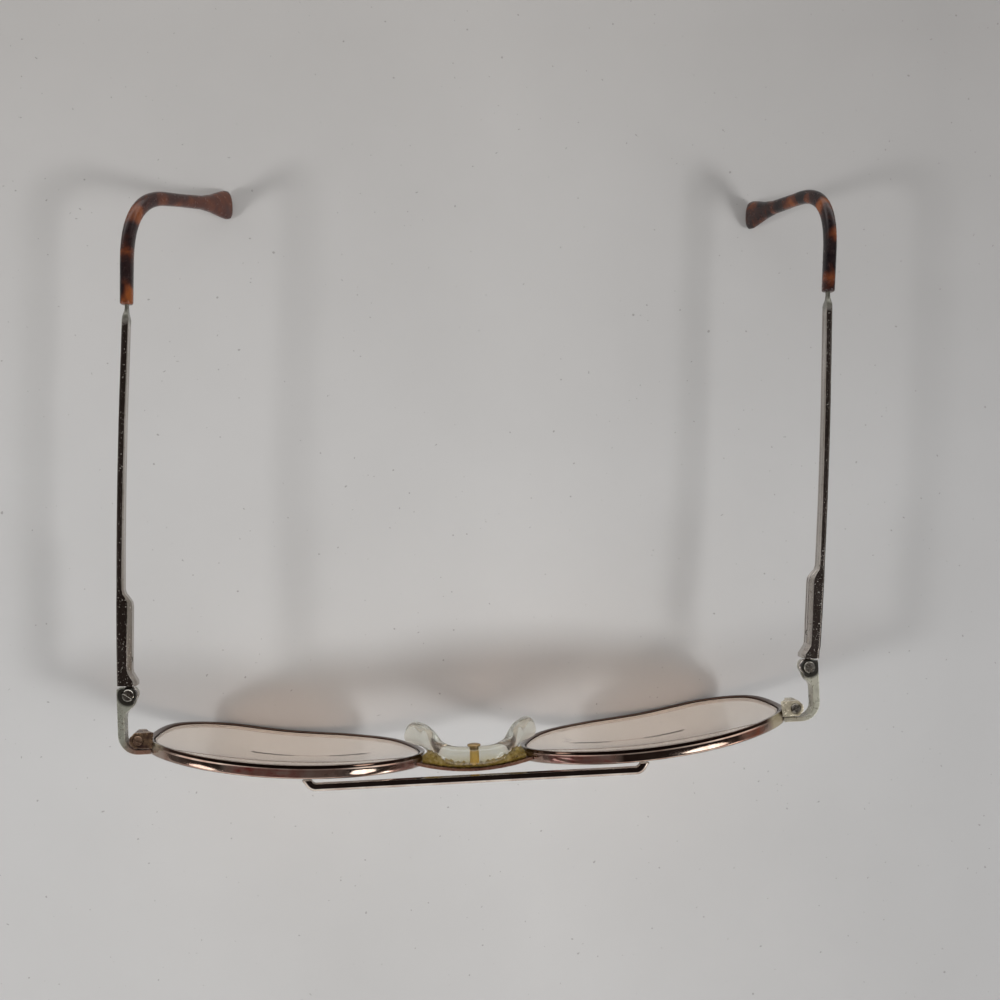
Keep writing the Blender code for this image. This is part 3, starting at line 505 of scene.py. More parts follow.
def spread(tree, source, low, high, from_low=0.3, from_high=0.7):
    """Stretches a noise to a range of values."""
    node = tree.nodes.new("ShaderNodeMapRange")
    plug(tree, node, Value=source, From_Min=from_low, From_Max=from_high, To_Min=low, To_Max=high)
    return node.outputs["Result"]


def maths(tree, operation, first, second=0.0):
    node = add_node(tree, "ShaderNodeMath", operation=operation)
    fill(tree, node.inputs[0], first)
    fill(tree, node.inputs[1], second)
    return node.outputs[0]


def separate(tree, vector):
    """The three numbers of a vector, by the names of the axes."""
    node = tree.nodes.new("ShaderNodeSeparateXYZ")
    plug(tree, node, Vector=vector)
    return node.outputs


def mix(tree, share, first, second, mode="MIX"):
    node = add_node(tree, "ShaderNodeMix", data_type="RGBA", blend_type=mode)
    for number, value in ((0, share), (6, first), (7, second)):
        fill(tree, node.inputs[number], value)
    return node.outputs[2]


def bump(tree, source, strength, distance):
    """A normal with the source as its relief."""
    node = tree.nodes.new("ShaderNodeBump")
    plug(tree, node, Height=source, Strength=strength, Distance=distance)
    return node.outputs["Normal"]


def near(tree, centre, inner, outer, share=1.0):
    """A share inside the inner distance from a point, which is gone at the outer distance."""
    node = add_node(tree, "ShaderNodeVectorMath", operation="DISTANCE")
    fill(tree, node.inputs[0], object_point(tree))
    fill(tree, node.inputs[1], centre)
    return spread(tree, node.outputs["Value"], share, 0.0, inner, outer)


def let_lamps_through(tree, shader, tint):
    """Rays from lamps pass the surface with a tint, so that its shadow is light."""
    path = tree.nodes.new("ShaderNodeLightPath")
    clear = tree.nodes.new("ShaderNodeBsdfTransparent")
    plug(tree, clear, Color=tint)
    blend = tree.nodes.new("ShaderNodeMixShader")
    sources = (path.outputs["Is Shadow Ray"], shader.outputs[0], clear.outputs[0])
    for socket, value in zip(blend.inputs, sources):
        fill(tree, socket, value)
    plug(tree, tree.nodes["Material Output"], Surface=blend.outputs["Shader"])


def metal(name, bright, dull, smooth, rough, stretch=(1, 1, 1), spots=None, painted_rim_shade=None, crown_reflections=(),
          patches=(), plate=1.0, dust=0.0, mottle=260):
    """Plated metal: a slow change of tone, hairline scratches, spots, dust, and stains and painted light in
    places.

    The painted shade lies where a piece's own attribute says, the painted reflections only on the rims'
    crown, and the patches are stains, painted shade or a painted highlight, each as given.
    """
    made, tree, shader = new_material(name)
    tone = ramp(tree, noise(tree, mottle, 4, stretch=stretch), ((0.35, dull), (0.62, bright)))
    shine = plate
    if spots:
        share = spread(tree, noise(tree, 1300, 5, 0.7), 0.0, 0.85, 0.58, 0.68)
        tone = mix(tree, share, tone, spots)
    # Painted shade on the faces that the piece's attribute marks.
    if painted_rim_shade:
        rim_shade_mask = add_node(tree, "ShaderNodeAttribute", attribute_name="painted_rim_shade")
        tone = mix(tree, rim_shade_mask.outputs["Fac"], tone, painted_rim_shade)
    if dust:
        grain = noise(tree, 3600, 2, 0.5)
        tone = mix(tree, spread(tree, grain, 0.0, dust, 0.66, 0.72), tone, DUST_ON_METAL)
        shine = mix(tree, spread(tree, grain, 0.0, 1.0, 0.66, 0.72), shine, DUST_SHINE)
    # Stains and painted marks; the painted reflections lie only on the crown.
    stains_and_painted_marks = [(mark, True) for mark in crown_reflections] + [(mark, False) for mark in patches]
    for (centre, inner, outer, share, colour), is_streaky in stains_and_painted_marks:
        where = near(tree, centre, inner, outer, share)
        if is_streaky:
            crown = add_node(tree, "ShaderNodeAttribute", attribute_name="crown")
            lines = spread(tree, noise(tree, 420, 4, 0.6, (1, 2.5, 2.5)), 0.45, 1.0)
            where = maths(tree, "MULTIPLY", maths(tree, "MULTIPLY", where, crown.outputs["Fac"]), lines)
        tone = mix(tree, where, tone, colour)
        shine = mix(tree, where, shine, STAIN_AND_PAINTED_LIGHT_SHINE)
    worn = spread(tree, noise(tree, 700, 5, 0.65, stretch), smooth, rough)
    hair = noise(tree, 2600, 3, 0.6, stretch, turn=(0, 0, 0.3))
    scratched = bump(tree, hair, 0.12, 0.00004)
    plug(tree, shader, Base_Color=tone, Metallic=shine, Roughness=worn, Normal=scratched)
    return made


def make_glass():
    """Tinted glass with a little dust."""
    made, tree, shader = new_material("pink_brown_lens")
    dust = spread(tree, noise(tree, 2100, 1.5, 0.4), 0.0, 0.9, 0.735, 0.765)
    smear = spread(tree, noise(tree, 160, 4, 0.6), 0.0, 0.05)
    plug(tree, shader, Base_Color=mix(tree, dust, (0.945, 0.85, 0.76), (0.20, 0.16, 0.13)), Roughness=smear,
         Transmission_Weight=1.0, IOR=1.5)
    let_lamps_through(tree, shader, (0.55, 0.45, 0.385))
    return made


def make_ground_edge():
    """The lens's ground edge, matt and pale."""
    made, tree, shader = new_material("ground_lens_edge")
    tone = ramp(tree, noise(tree, 900, 3), ((0.35, (0.46, 0.42, 0.385)), (0.65, (0.52, 0.475, 0.435))))
    plug(tree, shader, Base_Color=tone, Roughness=0.9)
    return made


def make_clear_plastic():
    """Clear plastic gone yellow along the bridge and brown at the roots of its wings."""
    made, tree, shader = new_material("yellowed_clear_plastic")
    back = separate(tree, object_point(tree))["Y"]
    bridge_y = MIDDLE.y + BRIDGE_FRONT_Y
    near_bridge = spread(tree, back, 1.0, 0.0, bridge_y + 1.4 * MM, bridge_y + 3.6 * MM)
    patchy = spread(tree, noise(tree, 520, 4), 0.35, 1.0)
    tone = mix(tree, maths(tree, "MULTIPLY", near_bridge, patchy), (0.80, 0.81, 0.74), (0.55, 0.40, 0.08))
    for sign in SIDES.values():
        root = MIDDLE + Vector((sign * 7.6 * MM, BRIDGE_FRONT_Y + 3.9 * MM, SADDLE_Z - 1.5 * MM))
        mark = maths(tree, "MULTIPLY", near(tree, root, 0.9 * MM, 2.7 * MM), patchy)
        tone = mix(tree, mark, tone, (0.58, 0.36, 0.22))
    plug(tree, shader, Base_Color=tone, Transmission_Weight=0.96, IOR=1.49,
         Roughness=spread(tree, noise(tree, 500, 5), 0.02, 0.12),
         Normal=bump(tree, noise(tree, 700, 4), 0.15, 0.0001))
    let_lamps_through(tree, shader, (0.36, 0.34, 0.30))
    return made


def make_glue():
    """Old glue between the bridge and the saddle: olive-yellow, grainy and dull."""
    made, tree, shader = new_material("aged_glue")
    grain = noise(tree, 1500, 4, 0.7)
    tone = ramp(tree, grain, (
        (0.34, (0.15, 0.085, 0.02)),
        (0.46, (0.38, 0.26, 0.05)),
        (0.60, (0.55, 0.43, 0.14)),
        (0.72, (0.72, 0.64, 0.38)),
    ))
    plug(tree, shader, Base_Color=tone, Transmission_Weight=0.72, Roughness=spread(tree, grain, 0.25, 0.5),
         Normal=bump(tree, noise(tree, 1100, 4), 0.5, 0.0001))
    return made


def make_tortoiseshell():
    """Acetate with brown-black blotches in an amber ground, duller and redder on the paddles."""
    made, tree, shader = new_material("tortoiseshell_acetate")
    blotch = noise(tree, 150, 3.0, 0.55, (1.0, 0.8, 0.9), 0.7)
    for side, rows in TIP_BLOTCHES.items():
        for distance, inwards, radius, shade in rows:
            centre, _ = along_path(temple_path(side), TIP_START + distance * MM)
            centre = hinge_place(side) @ (centre - Vector((SIDES[side] * inwards * MM, 0, 0)))
            weight = near(tree, centre, radius * 0.35 * MM, radius * MM, abs(shade))
            blotch = maths(tree, "ADD" if shade > 0 else "SUBTRACT", blotch, weight)
    ground = ramp(tree, blotch, (
        (0.36, (0.006, 0.004, 0.005)),
        (0.46, (0.024, 0.008, 0.006)),
        (0.56, (0.085, 0.023, 0.009)),
        (0.70, (0.20, 0.055, 0.012)),
    ))
    across = separate(tree, object_point(tree))["X"]
    outwards = maths(tree, "ABSOLUTE", maths(tree, "SUBTRACT", across, MIDDLE.x))
    paddle = spread(tree, outwards, 0.55, 0.0, 57 * MM, 69 * MM)
    tone = mix(tree, paddle, ground, (0.062, 0.024, 0.020))
    haze = spread(tree, noise(tree, 900, 4), 0.0, 0.07)
    plug(tree, shader, Base_Color=mix(tree, haze, tone, (0.16, 0.09, 0.075)), Specular_IOR_Level=0.35,
         Roughness=spread(tree, noise(tree, 900, 4), 0.16, 0.30),
         Normal=bump(tree, noise(tree, 1500, 3), 0.10, 0.00005))
    return made


def make_floor_finish():
    """A pale board with painted shade: a little darker and warmer behind the tips, and darker to the right.
    """
    made, tree, shader = new_material("pale_board")
    tone = ramp(tree, noise(tree, 9, 5, 0.6), ((0.3, (0.488, 0.483, 0.476)), (0.7, (0.534, 0.529, 0.522))))
    axes = separate(tree, object_point(tree))
    shades = (("Y", 0.0, 0.10, (0.845, 0.828, 0.812)), ("X", 0.01, 0.115, (0.78, 0.78, 0.785)))
    for axis, start, end, shade in shades:
        share = spread(tree, axes[axis], 0.0, 1.0, start, end)
        tone = mix(tree, share, tone, mix(tree, 1.0, tone, shade, "MULTIPLY"))
    speck = spread(tree, noise(tree, 900, 1.5, 0.4), 0.0, 0.55, 0.755, 0.785)
    plug(tree, shader, Base_Color=mix(tree, speck, tone, (0.16, 0.15, 0.14)), Roughness=0.6)
    return made


def rim_marks(rows):
    """Marks on the rims from the table, the painted reflections and the pale ends: where, how far they
    reach, their share and colour.
    """
    return [
        (MIDDLE + Vector(at) * MM, 0.45 * size * MM, size * MM, share, colour)
        for at, size, share, colour in rows
    ]


PLAIN = bpy.data.materials.new("plain")
# The rims carry painted shade on their rear and inner faces, and painted reflections in dark red-brown along
# their crown.
ROSE_METAL = metal("polished_rose_gold", (0.38, 0.30, 0.25), (0.25, 0.160, 0.125), 0.06, 0.15,
                   painted_rim_shade=(0.085, 0.048, 0.034), crown_reflections=rim_marks(RIM_PAINTED_REFLECTIONS),
                   patches=rim_marks(RIM_PALE_ENDS))
BAR_METAL = metal("polished_bar", (0.30, 0.265, 0.235), (0.22, 0.175, 0.15), 0.06, 0.14)
BRIDGE_METAL = metal("tarnished_bridge", (0.20, 0.10, 0.065), (0.11, 0.045, 0.032), 0.18, 0.35, plate=0.4)
STEEL = metal("turned_steel", (0.46, 0.44, 0.39), (0.22, 0.20, 0.17), 0.20, 0.36, dust=0.5)
BRONZE = metal("tarnished_screw", (0.32, 0.21, 0.14), (0.13, 0.075, 0.05), 0.20, 0.36, plate=0.7, dust=0.3)
# The stud's head is darker brass, and the same patch paints shade on the shaft just under the head.
BRASS = metal("polished_brass", (0.86, 0.58, 0.14), (0.62, 0.38, 0.07), 0.08, 0.18, plate=0.35,
              patches=[(STUD_HEAD_AT, 1.43 * MM, 1.5 * MM, 0.85, (0.24, 0.16, 0.08))])
LENS_TINT = make_glass()
GROUND_EDGE = make_ground_edge()
CLEAR_PLASTIC = make_clear_plastic()
GLUE = make_glue()


# The lens opening and the lens's own coordinates

def opening_curve(count, grow=0.0, gap=SPLIT_GAP):
    """Evenly spaced points and outward directions, from the split over the top and back to it."""
    corners = np.array(OPENING) * MM
    curve = smooth_through(np.vstack((corners[-1:], corners, corners[:2])), 60)[60:-60]
    along = np.roll(curve[:-1], -1, axis=0) - np.roll(curve[:-1], 1, axis=0)
    curve = curve[:-1]
    outwards = np.stack((along[:, 1], -along[:, 0]), axis=1)
    outwards /= np.linalg.norm(outwards, axis=1)[:, None]
    above = (curve[:, 0] > 0) & (curve[:, 1] >= SPLIT_Z - LENS_Z)
    first = int(np.argmin(np.where(above, curve[:, 1], np.inf)))
    order = np.arange(first, first + len(curve) + 1) % len(curve)
    curve, outwards = curve[order], outwards[order]
    lengths = np.concatenate(([0.0], np.cumsum(np.linalg.norm(np.diff(curve, axis=0), axis=1))))
    places = np.linspace(gap / 2, lengths[-1] - gap / 2, count)
    even = [np.interp(places, lengths, curve[:, axis]) for axis in (0, 1)]
    normal = [np.interp(places, lengths, outwards[:, axis]) for axis in (0, 1)]
    return [((u + grow * nu, v + grow * nv), (nu, nv)) for u, v, nu, nv in zip(*even, *normal)]


def lens_point(sign, u, v, back):
    """A point from lens coordinates: outwards, up, and back from the lens's middle surface."""
    out = Vector((sign * math.cos(LENS_WRAP), math.sin(LENS_WRAP), 0.0))
    level_rear = Vector((-sign * math.sin(LENS_WRAP), math.cos(LENS_WRAP), 0.0))
    up = UP * math.cos(LENS_TILT) + level_rear * math.sin(LENS_TILT)
    rear = level_rear * math.cos(LENS_TILT) - UP * math.sin(LENS_TILT)
    sag = (u * u + v * v) / (2 * LENS_CURVE)
    centre = MIDDLE + Vector((sign * LENS_X, LENS_Y, LENS_Z))
    return centre + out * u + up * v + rear * (back + sag)


def segment_top(u):
    """Height of the reading segment's top line across the lens."""
    return SEGMENT_TOP - SEGMENT_CROWN * ((u - SEGMENT_ACROSS) / SEGMENT_HALF_WIDTH) ** 2


def segment_rise(u, v):
    """How far the reading segment stands out of the lens's front surface."""
    below = segment_top(u) - v
    if below <= 0:
        return 0.0
    across = abs(u - SEGMENT_ACROSS) / SEGMENT_HALF_WIDTH
    sides = clamp((1.0 - across) / 0.06)
    return SEGMENT_LEDGE * sides * max(1.0 - below / SEGMENT_DEPTH, 0.0)


# The front

def opening_rings(sign, section, curve):
    """Rings round the lens opening; the section is outwards from it, and back from the rim's middle."""
    return [
        [lens_point(sign, u + out * nu, v + out * nv, back) for out, back in section]
        for (u, v), (nu, nv) in curve
    ]


def make_rim(side, sign):
    section = [(out * MM, back * MM) for out, back, _ in RIM_SECTION]
    rim = lofted(side + "_rim_wire", opening_rings(sign, section, opening_curve(RIM_STEPS)), ROSE_METAL, 40)
    # Shares of painted shade, on the rear and inner faces, and of the crowned face, where the painted
    # reflections go.
    painted_rim_shade = [share for _, _, share in RIM_SECTION]
    crown = [float(out > RIM_CROWN) for out, _, _ in RIM_SECTION]
    for name, values in (("painted_rim_shade", painted_rim_shade), ("crown", crown)):
        layer = rim.data.attributes.new(name, "FLOAT", "POINT")
        layer.data.foreach_set("value", values * RIM_STEPS)
    dress(rim, side + "_rim", "front")


def lens_front_net(outline):
    """A flat net of points and triangles inside the outline, with the segment's top line in it."""
    count = len(outline)
    points = [Vector(point) for point in outline]
    edges = [(k, (k + 1) % count) for k in range(count)]
    reach = np.linspace(-SEGMENT_HALF_WIDTH, SEGMENT_HALF_WIDTH, 53) + SEGMENT_ACROSS
    for lower in (0.0, SEGMENT_RISE):
        first = len(points)
        points += [Vector((u, segment_top(u) - lower)) for u in reach]
        edges += [(first + k, first + k + 1) for k in range(len(reach) - 1)]
    inner = np.array([point for point, _ in opening_curve(240, grow=-0.7 * NET_PITCH, gap=0.0)])
    after = np.roll(inner, -1, axis=0)
    for row, v in enumerate(np.arange(inner[:, 1].min(), inner[:, 1].max(), NET_PITCH * 0.87)):
        crossing = (inner[:, 1] > v) != (after[:, 1] > v)
        share = (v - inner[crossing, 1]) / (after[crossing, 1] - inner[crossing, 1])
        ends = sorted(inner[crossing, 0] + share * (after[crossing, 0] - inner[crossing, 0]))
        for u in np.arange(ends[0] + (row % 2) * NET_PITCH / 2, ends[-1], NET_PITCH):
            near_line = abs(v - segment_top(u)) < 0.45 * NET_PITCH
            if not (near_line and abs(u - SEGMENT_ACROSS) < SEGMENT_HALF_WIDTH + NET_PITCH):
                points.append(Vector((u, v)))
    flat, _, triangles, *_ = delaunay_2d_cdt(points, edges, [], 0, 1e-9)
    inside = np.array(outline)
    kept = []
    for triangle in triangles:
        centre = sum((flat[k] for k in triangle), Vector((0, 0))) / 3
        if is_inside(inside, centre):
            kept.append(tuple(triangle))
    return flat, kept


def is_inside(outline, point):
    after = np.roll(outline, -1, axis=0)
    crossing = (outline[:, 1] > point.y) != (after[:, 1] > point.y)
    share = (point.y - outline[crossing, 1]) / (after[crossing, 1] - outline[crossing, 1])
    across = outline[crossing, 0] + share * (after[crossing, 0] - outline[crossing, 0])
    return int(np.sum(across > point.x)) % 2 == 1


def make_lens(side, sign):
    """A meniscus lens with a reading segment, whose ridge sits in the rim's groove."""
    half = LENS_THICKNESS / 2
    edge = -SEAT_GAP
    ridge = RIDGE_HEIGHT - SEAT_GAP
    outline = [point for point, _ in opening_curve(200, grow=edge, gap=0.0)[:-1]]
    tip = [point for point, _ in opening_curve(200, grow=ridge, gap=0.0)[:-1]]
    count = len(outline)
    flat, triangles = lens_front_net(outline)
    points = [lens_point(sign, p.x, p.y, -half - segment_rise(p.x, p.y)) for p in flat]
    faces = list(triangles)
    rings = [[k for k in range(count)]]
    for loop, back in ((outline, -RIDGE_HALF_WIDTH), (tip, 0.0), (outline, RIDGE_HALF_WIDTH)):
        rings.append(range(len(points), len(points) + count))
        points += [lens_point(sign, u, v, back) for u, v in loop]
    for share in (1.0, 0.97, 0.86, 0.72, 0.56, 0.38, 0.2, 0.07):
        rings.append(range(len(points), len(points) + count))
        points += [lens_point(sign, u * share, v * share, half) for u, v in outline]
    for near, far in zip(rings, rings[1:]):
        for k in range(count):
            after = (k + 1) % count
            faces.append((near[k], near[after], far[after], far[k]))
    faces.append(tuple(rings[-1]))
    lens = mesh_object(side + "_lens_glass", points, faces, LENS_TINT, sharp=35)
    lens.data.materials.append(GROUND_EDGE)
    for face in lens.data.polygons[len(triangles):len(triangles) + 4 * count]:
        face.material_index = 1
    dress(lens, side + "_lens", "front", flat_faces=False)


def on_front(x=0.0, y=0.0, z=0.0):
    """A place in the axes of the front."""
    return Matrix.Translation(MIDDLE) @ Matrix.Translation((x, y, z))


def make_brow_bar():
    """A bar with a bright front chamfer, whose ends bend back onto the rims."""
    middle_y = BAR_REAR_Y - BAR_DEPTH / 2
    outer = BAR_BEND_RADIUS + BAR_DEPTH / 2
    turns = np.radians(np.linspace(0, BAR_BEND, 11))
    rise = BAR_NIB_Y - (BAR_REAR_Y - BAR_DEPTH) - outer * (1 - math.cos(turns[-1]))
    start = BAR_HALF_LENGTH - outer * math.sin(turns[-1]) - rise / math.tan(turns[-1])
    rings = []
    for share in np.linspace(0, 1, 8):
        rings.append([(start * share, middle_y + d * MM, BAR_TOP_Z + z * MM) for d, z in BAR_SECTION])
    for turn in turns[1:]:
        ring = []
        for d, z in BAR_SECTION:
            radius = BAR_BEND_RADIUS - d * MM
            across = start + radius * math.sin(turn)
            ring.append((across, middle_y + BAR_BEND_RADIUS - radius * math.cos(turn), BAR_TOP_Z + z * MM))
        rings.append(ring)
    slope = math.tan(turns[-1])
    rings.append([(x + (BAR_NIB_Y - y) / slope, BAR_NIB_Y, z) for x, y, z in rings[-1]])
    mirrored = [[(-x, y, z) for x, y, z in ring] for ring in reversed(rings[1:])]
    rings = [[MIDDLE + Vector(point) for point in ring] for ring in mirrored + rings]
    dress(lofted("brow_bar_wire", rings, BAR_METAL, 24), "brow_bar", "front")


def bridge_line(x):
    return BRIDGE_FRONT_Y + BRIDGE_BOW * (x / BRIDGE_HALF_SPAN) ** 2


def make_bridge():
    """The thin lower bridge, soldered to the rims at both ends."""
    reach = frame_reach("bridge")
    steps = np.linspace(-reach, reach, 49)
    outline = [(x, bridge_line(x)) for x in steps]
    outline += [(x, bridge_line(x) + BRIDGE_THICKNESS) for x in reversed(steps)]
    top = BRIDGE_BOTTOM_Z + BRIDGE_HEIGHT
    rings = soft_plate(outline, BRIDGE_BOTTOM_Z, top, BRIDGE_BEVEL)
    dress(lofted("bridge_strip", rings, BRIDGE_METAL), "bridge", "front")


def frame_reach(node):
    """Half of a node's length across the front."""
    low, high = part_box(node)
    return (high.x - low.x) / 2


def saddle_rows():
    """Sections from wing to wing: centre, turn of the width axis, half width and half thickness."""
    centre_y = BRIDGE_FRONT_Y + BRIDGE_THICKNESS + SEAT_GAP + SADDLE_DEPTH / 2
    half = [(0.0, 0.0, 0.0, 0.0, SADDLE_DEPTH / MM / 2, SADDLE_HEIGHT / MM / 2)] + list(SADDLE_STATIONS)
    rows = [(-x, y, z, -turn, w, t) for x, y, z, turn, w, t in reversed(half[1:])] + half
    rows = smooth_through(rows, 8)
    rows[:, [0, 1, 2, 4, 5]] *= MM
    rows[:, 1] += centre_y
    rows[:, 2] = SADDLE_Z - rows[:, 2]
    return rows


def make_saddle():
    """The clear saddle: an arch behind the bridge that runs down into two pad wings."""
    rows = saddle_rows()
    rings = []
    for k, (x, y, z, turn, half_width, half_height) in enumerate(rows):
        before, after = rows[max(k - 1, 0)], rows[min(k + 1, len(rows) - 1)]
        along = Vector(after[:3] - before[:3]).normalized()
        across = Vector((math.sin(turn), math.cos(turn), 0.0))
        upright = along.cross(across).normalized()
        centre = MIDDLE + Vector((x, y, z))
        shape = superellipse(half_width, half_height, 36, SADDLE_SQUARENESS)
        rings.append([centre + across * s + upright * t for s, t in shape])
    for end, inner in ((0, 1), (-1, -2)):
        middle = sum(rings[end], Vector()) / len(rings[end])
        push = (middle - sum(rings[inner], Vector()) / len(rings[inner])) * 0.3
        cap = [middle + push + (point - middle) * 0.55 for point in rings[end]]
        rings.insert(0 if end == 0 else len(rings), cap)
    saddle = lofted("nose_saddle_clear", rings, CLEAR_PLASTIC, 60)
    dress(saddle, "nose_saddle", "front", flat_faces=False)


def make_glue_line():
    """A lumpy line of glue from rim to rim between the bridge and the saddle."""
    rings = []
    for step, x in enumerate(np.linspace(-GLUE_REACH, GLUE_REACH, 61)):
        share = abs(x) / GLUE_REACH
        taper = max(share - GLUE_TAPER, 0.0) / (1.0 - GLUE_TAPER)
        pull = 1.0 - 0.10 * share**3
        front = bridge_line(x) + BRIDGE_THICKNESS + 0.02 * MM
        wave = 0.16 * math.sin(step * 1.9) + 0.10 * math.sin(step * 0.83 + 1.0)
        depth = (GLUE_DEPTH + 2.0 * share**2.5 - taper + wave) * MM
        half = (1.25 - 0.5 * share**2 + 0.3 * wave) * MM
        low = SADDLE_Z - half - 1.1 * share**2 * MM
        high = SADDLE_Z + half * 0.75
        ring = []
        for a, b in superellipse(1.0, 1.0, 16, SADDLE_SQUARENESS):
            across = x * (pull if a > 0 else 1.0)
            back = front + depth * (a + 1) / 2
            ring.append(MIDDLE + Vector((across, back, (low + high) / 2 + (high - low) / 2 * b)))
        rings.append(ring)
    glue = lofted("saddle_glue", rings, GLUE, 60)
    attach(glue, "front")


def make_stud():
    """The brass stud in the saddle, with a flat head on its rear face."""
    start = BRIDGE_THICKNESS + SEAT_GAP
    head = start + SADDLE_DEPTH + RUNNING_GAP
    profile = [(STUD_RADIUS * 0.8, start), (STUD_RADIUS, start + 0.15 * MM), (STUD_RADIUS, head)]
    profile += [(STUD_HEAD_RADIUS * 0.94, head), (STUD_HEAD_RADIUS, head + 0.08 * MM)]
    for turn in np.radians((0, 20, 40, 60, 78)):
        profile.append((STUD_HEAD_RADIUS * math.cos(turn),
                        head + 0.25 * MM + (STUD_HEAD_LENGTH - 0.25 * MM) * math.sin(turn)))
    place = on_front(0.0, BRIDGE_FRONT_Y, SADDLE_Z) @ Matrix.Rotation(-math.pi / 2, 4, "X")
    stud = lofted("saddle_stud_turned", turned(profile, place), BRASS)
    dress(stud, "saddle_stud", "front")


def make_screw(name, node, x, y, top, length, radius, head_radius, slot_turn, finish):
    """A slotted screw with a chamfered head; top is the head's upper face."""
    profile = (
        (radius * 0.7, -length),
        (radius, -length + radius * 0.4),
        (radius, -HEAD_HEIGHT),
        (head_radius, -HEAD_HEIGHT),
        (head_radius, -HEAD_HEIGHT * 0.25),
        (head_radius * 0.90, 0.0),
    )
    place = on_front(x, y, top) @ Matrix.Rotation(slot_turn, 4, "Z")
    screw = lofted(name, turned(profile, place), finish)
    half = (head_radius * 1.5, SLOT_WIDTH / 2, SLOT_DEPTH)
    carve(screw, cutter_box(name + "_slot", half, (0, 0, 0.02 * MM), place))
    edge = screw.modifiers.new("worn_edges", "BEVEL")
    edge.width = WORN_EDGE
    edge.segments = 1
    edge.limit_method = "ANGLE"
    edge.angle_limit = math.radians(50)
    dress(screw, node, "front")


def block_outline(sign):
    """A closing block from above: square towards the rim, with cut corners at its outer end."""
    front_y = BLOCK_REAR_Y - BLOCK_DEPTH
    points = [(BLOCK_INNER_X, front_y), (BLOCK_OUTER_X - BLOCK_CORNER, front_y)]
    points += [(BLOCK_OUTER_X, front_y + BLOCK_CORNER), (BLOCK_OUTER_X, BLOCK_REAR_Y - BLOCK_CORNER)]
    points += [(BLOCK_OUTER_X - BLOCK_CORNER, BLOCK_REAR_Y), (BLOCK_INNER_X, BLOCK_REAR_Y)]
    return [(sign * x, y) for x, y in points]


def rim_clearance(side, sign):
    """A cutter round the rim and behind it, so that what is soldered to it keeps its gap."""
    deep = RIM_DEPTH / 2 + SEAT_GAP
    behind = RIM_DEPTH / 2 + CLEARANCE_REAR
    outer = RIM_THICKNESS + SEAT_GAP
    section = ((-CLEARANCE_INNER, -deep), (-CLEARANCE_INNER, behind), (outer, behind), (outer, -deep))
    rings = opening_rings(sign, section, opening_curve(120, gap=0.0)[:-1])
    return lofted(side + "_rim_room", rings, PLAIN, endless=True)


def make_closing_blocks(side, sign):
    middle_y = BLOCK_REAR_Y - BLOCK_DEPTH / 2
    low = SPLIT_Z - SPLIT_GAP / 2 - BLOCK_HEIGHT
    high = SPLIT_Z + SPLIT_GAP / 2 + BLOCK_HEIGHT
    x = sign * RIM_SCREW_X
    place = on_front(x, middle_y)
    levels = {"upper": (SPLIT_Z + SPLIT_GAP / 2, high), "lower": (low, SPLIT_Z - SPLIT_GAP / 2)}
    for level, (bottom, top) in levels.items():
        node = side + "_" + level + "_closing_block"
        rings = soft_plate(block_outline(sign), bottom, top, BLOCK_BEVEL)
        made = lofted(node + "_soft", rings, BLOCK_METAL[side])
        hole = cutter_rod("hole", RIM_SCREW_RADIUS + RUNNING_GAP, low - MM, high + MM, place)
        cutters = [rim_clearance(side, sign), hole]
        if level == "upper":
            sink = RIM_SCREW_HEAD + RUNNING_GAP
            cutters.append(cutter_rod("sink", sink, high - HEAD_HEIGHT, high + MM, place))
        carve(made, *cutters)
        dress(made, node, "front")
    make_screw(side + "_rim_screw_turned", side + "_rim_screw", x, middle_y, high + RUNNING_GAP, high - low,
               RIM_SCREW_RADIUS, RIM_SCREW_HEAD, math.radians(RIM_SLOT_TURN * sign), RIM_SCREW_METAL[side])


def endpiece_outline(side, sign):
    """The endpiece from above: the front run, the corner, the strap and the hinge's knuckle."""
    hinge_x, hinge_y = HINGES[side]
    rear_y = BLOCK_REAR_Y - BLOCK_DEPTH - SEAT_GAP
    front_y = rear_y - STRAP_FRONT_THICKNESS
    outer_x = hinge_x + STRAP_OUTER[side]
    inner_x = outer_x - STRAP_SIDE_THICKNESS
    hollow = smooth_through(STRAP_HOLLOW, 4)[1:]
    hollow[:, 0] += np.linspace(0.0, inner_x - hinge_x - hollow[-1, 0] * MM, len(hollow)) / MM
    inner_corner = STRAP_CORNER - STRAP_SIDE_THICKNESS
    points = [(BLOCK_INNER_X, rear_y), (BLOCK_INNER_X, front_y)]
    points += arc((outer_x - STRAP_CORNER, front_y + STRAP_CORNER), STRAP_CORNER, -90, 0, 14)
    points.append((outer_x, hinge_y + SHOULDER_Y))
    start = math.degrees(math.asin(SHOULDER_Y / KNUCKLE_RADIUS))
    points += arc((hinge_x, hinge_y), KNUCKLE_RADIUS, 180 - start, 225, 16)
    points += [(hinge_x + x * MM, hinge_y + y * MM) for x, y in hollow]
    points += arc((inner_x - inner_corner, rear_y + inner_corner), inner_corner, 0, -90, 8)
    return [(sign * x, y) for x, y in points]


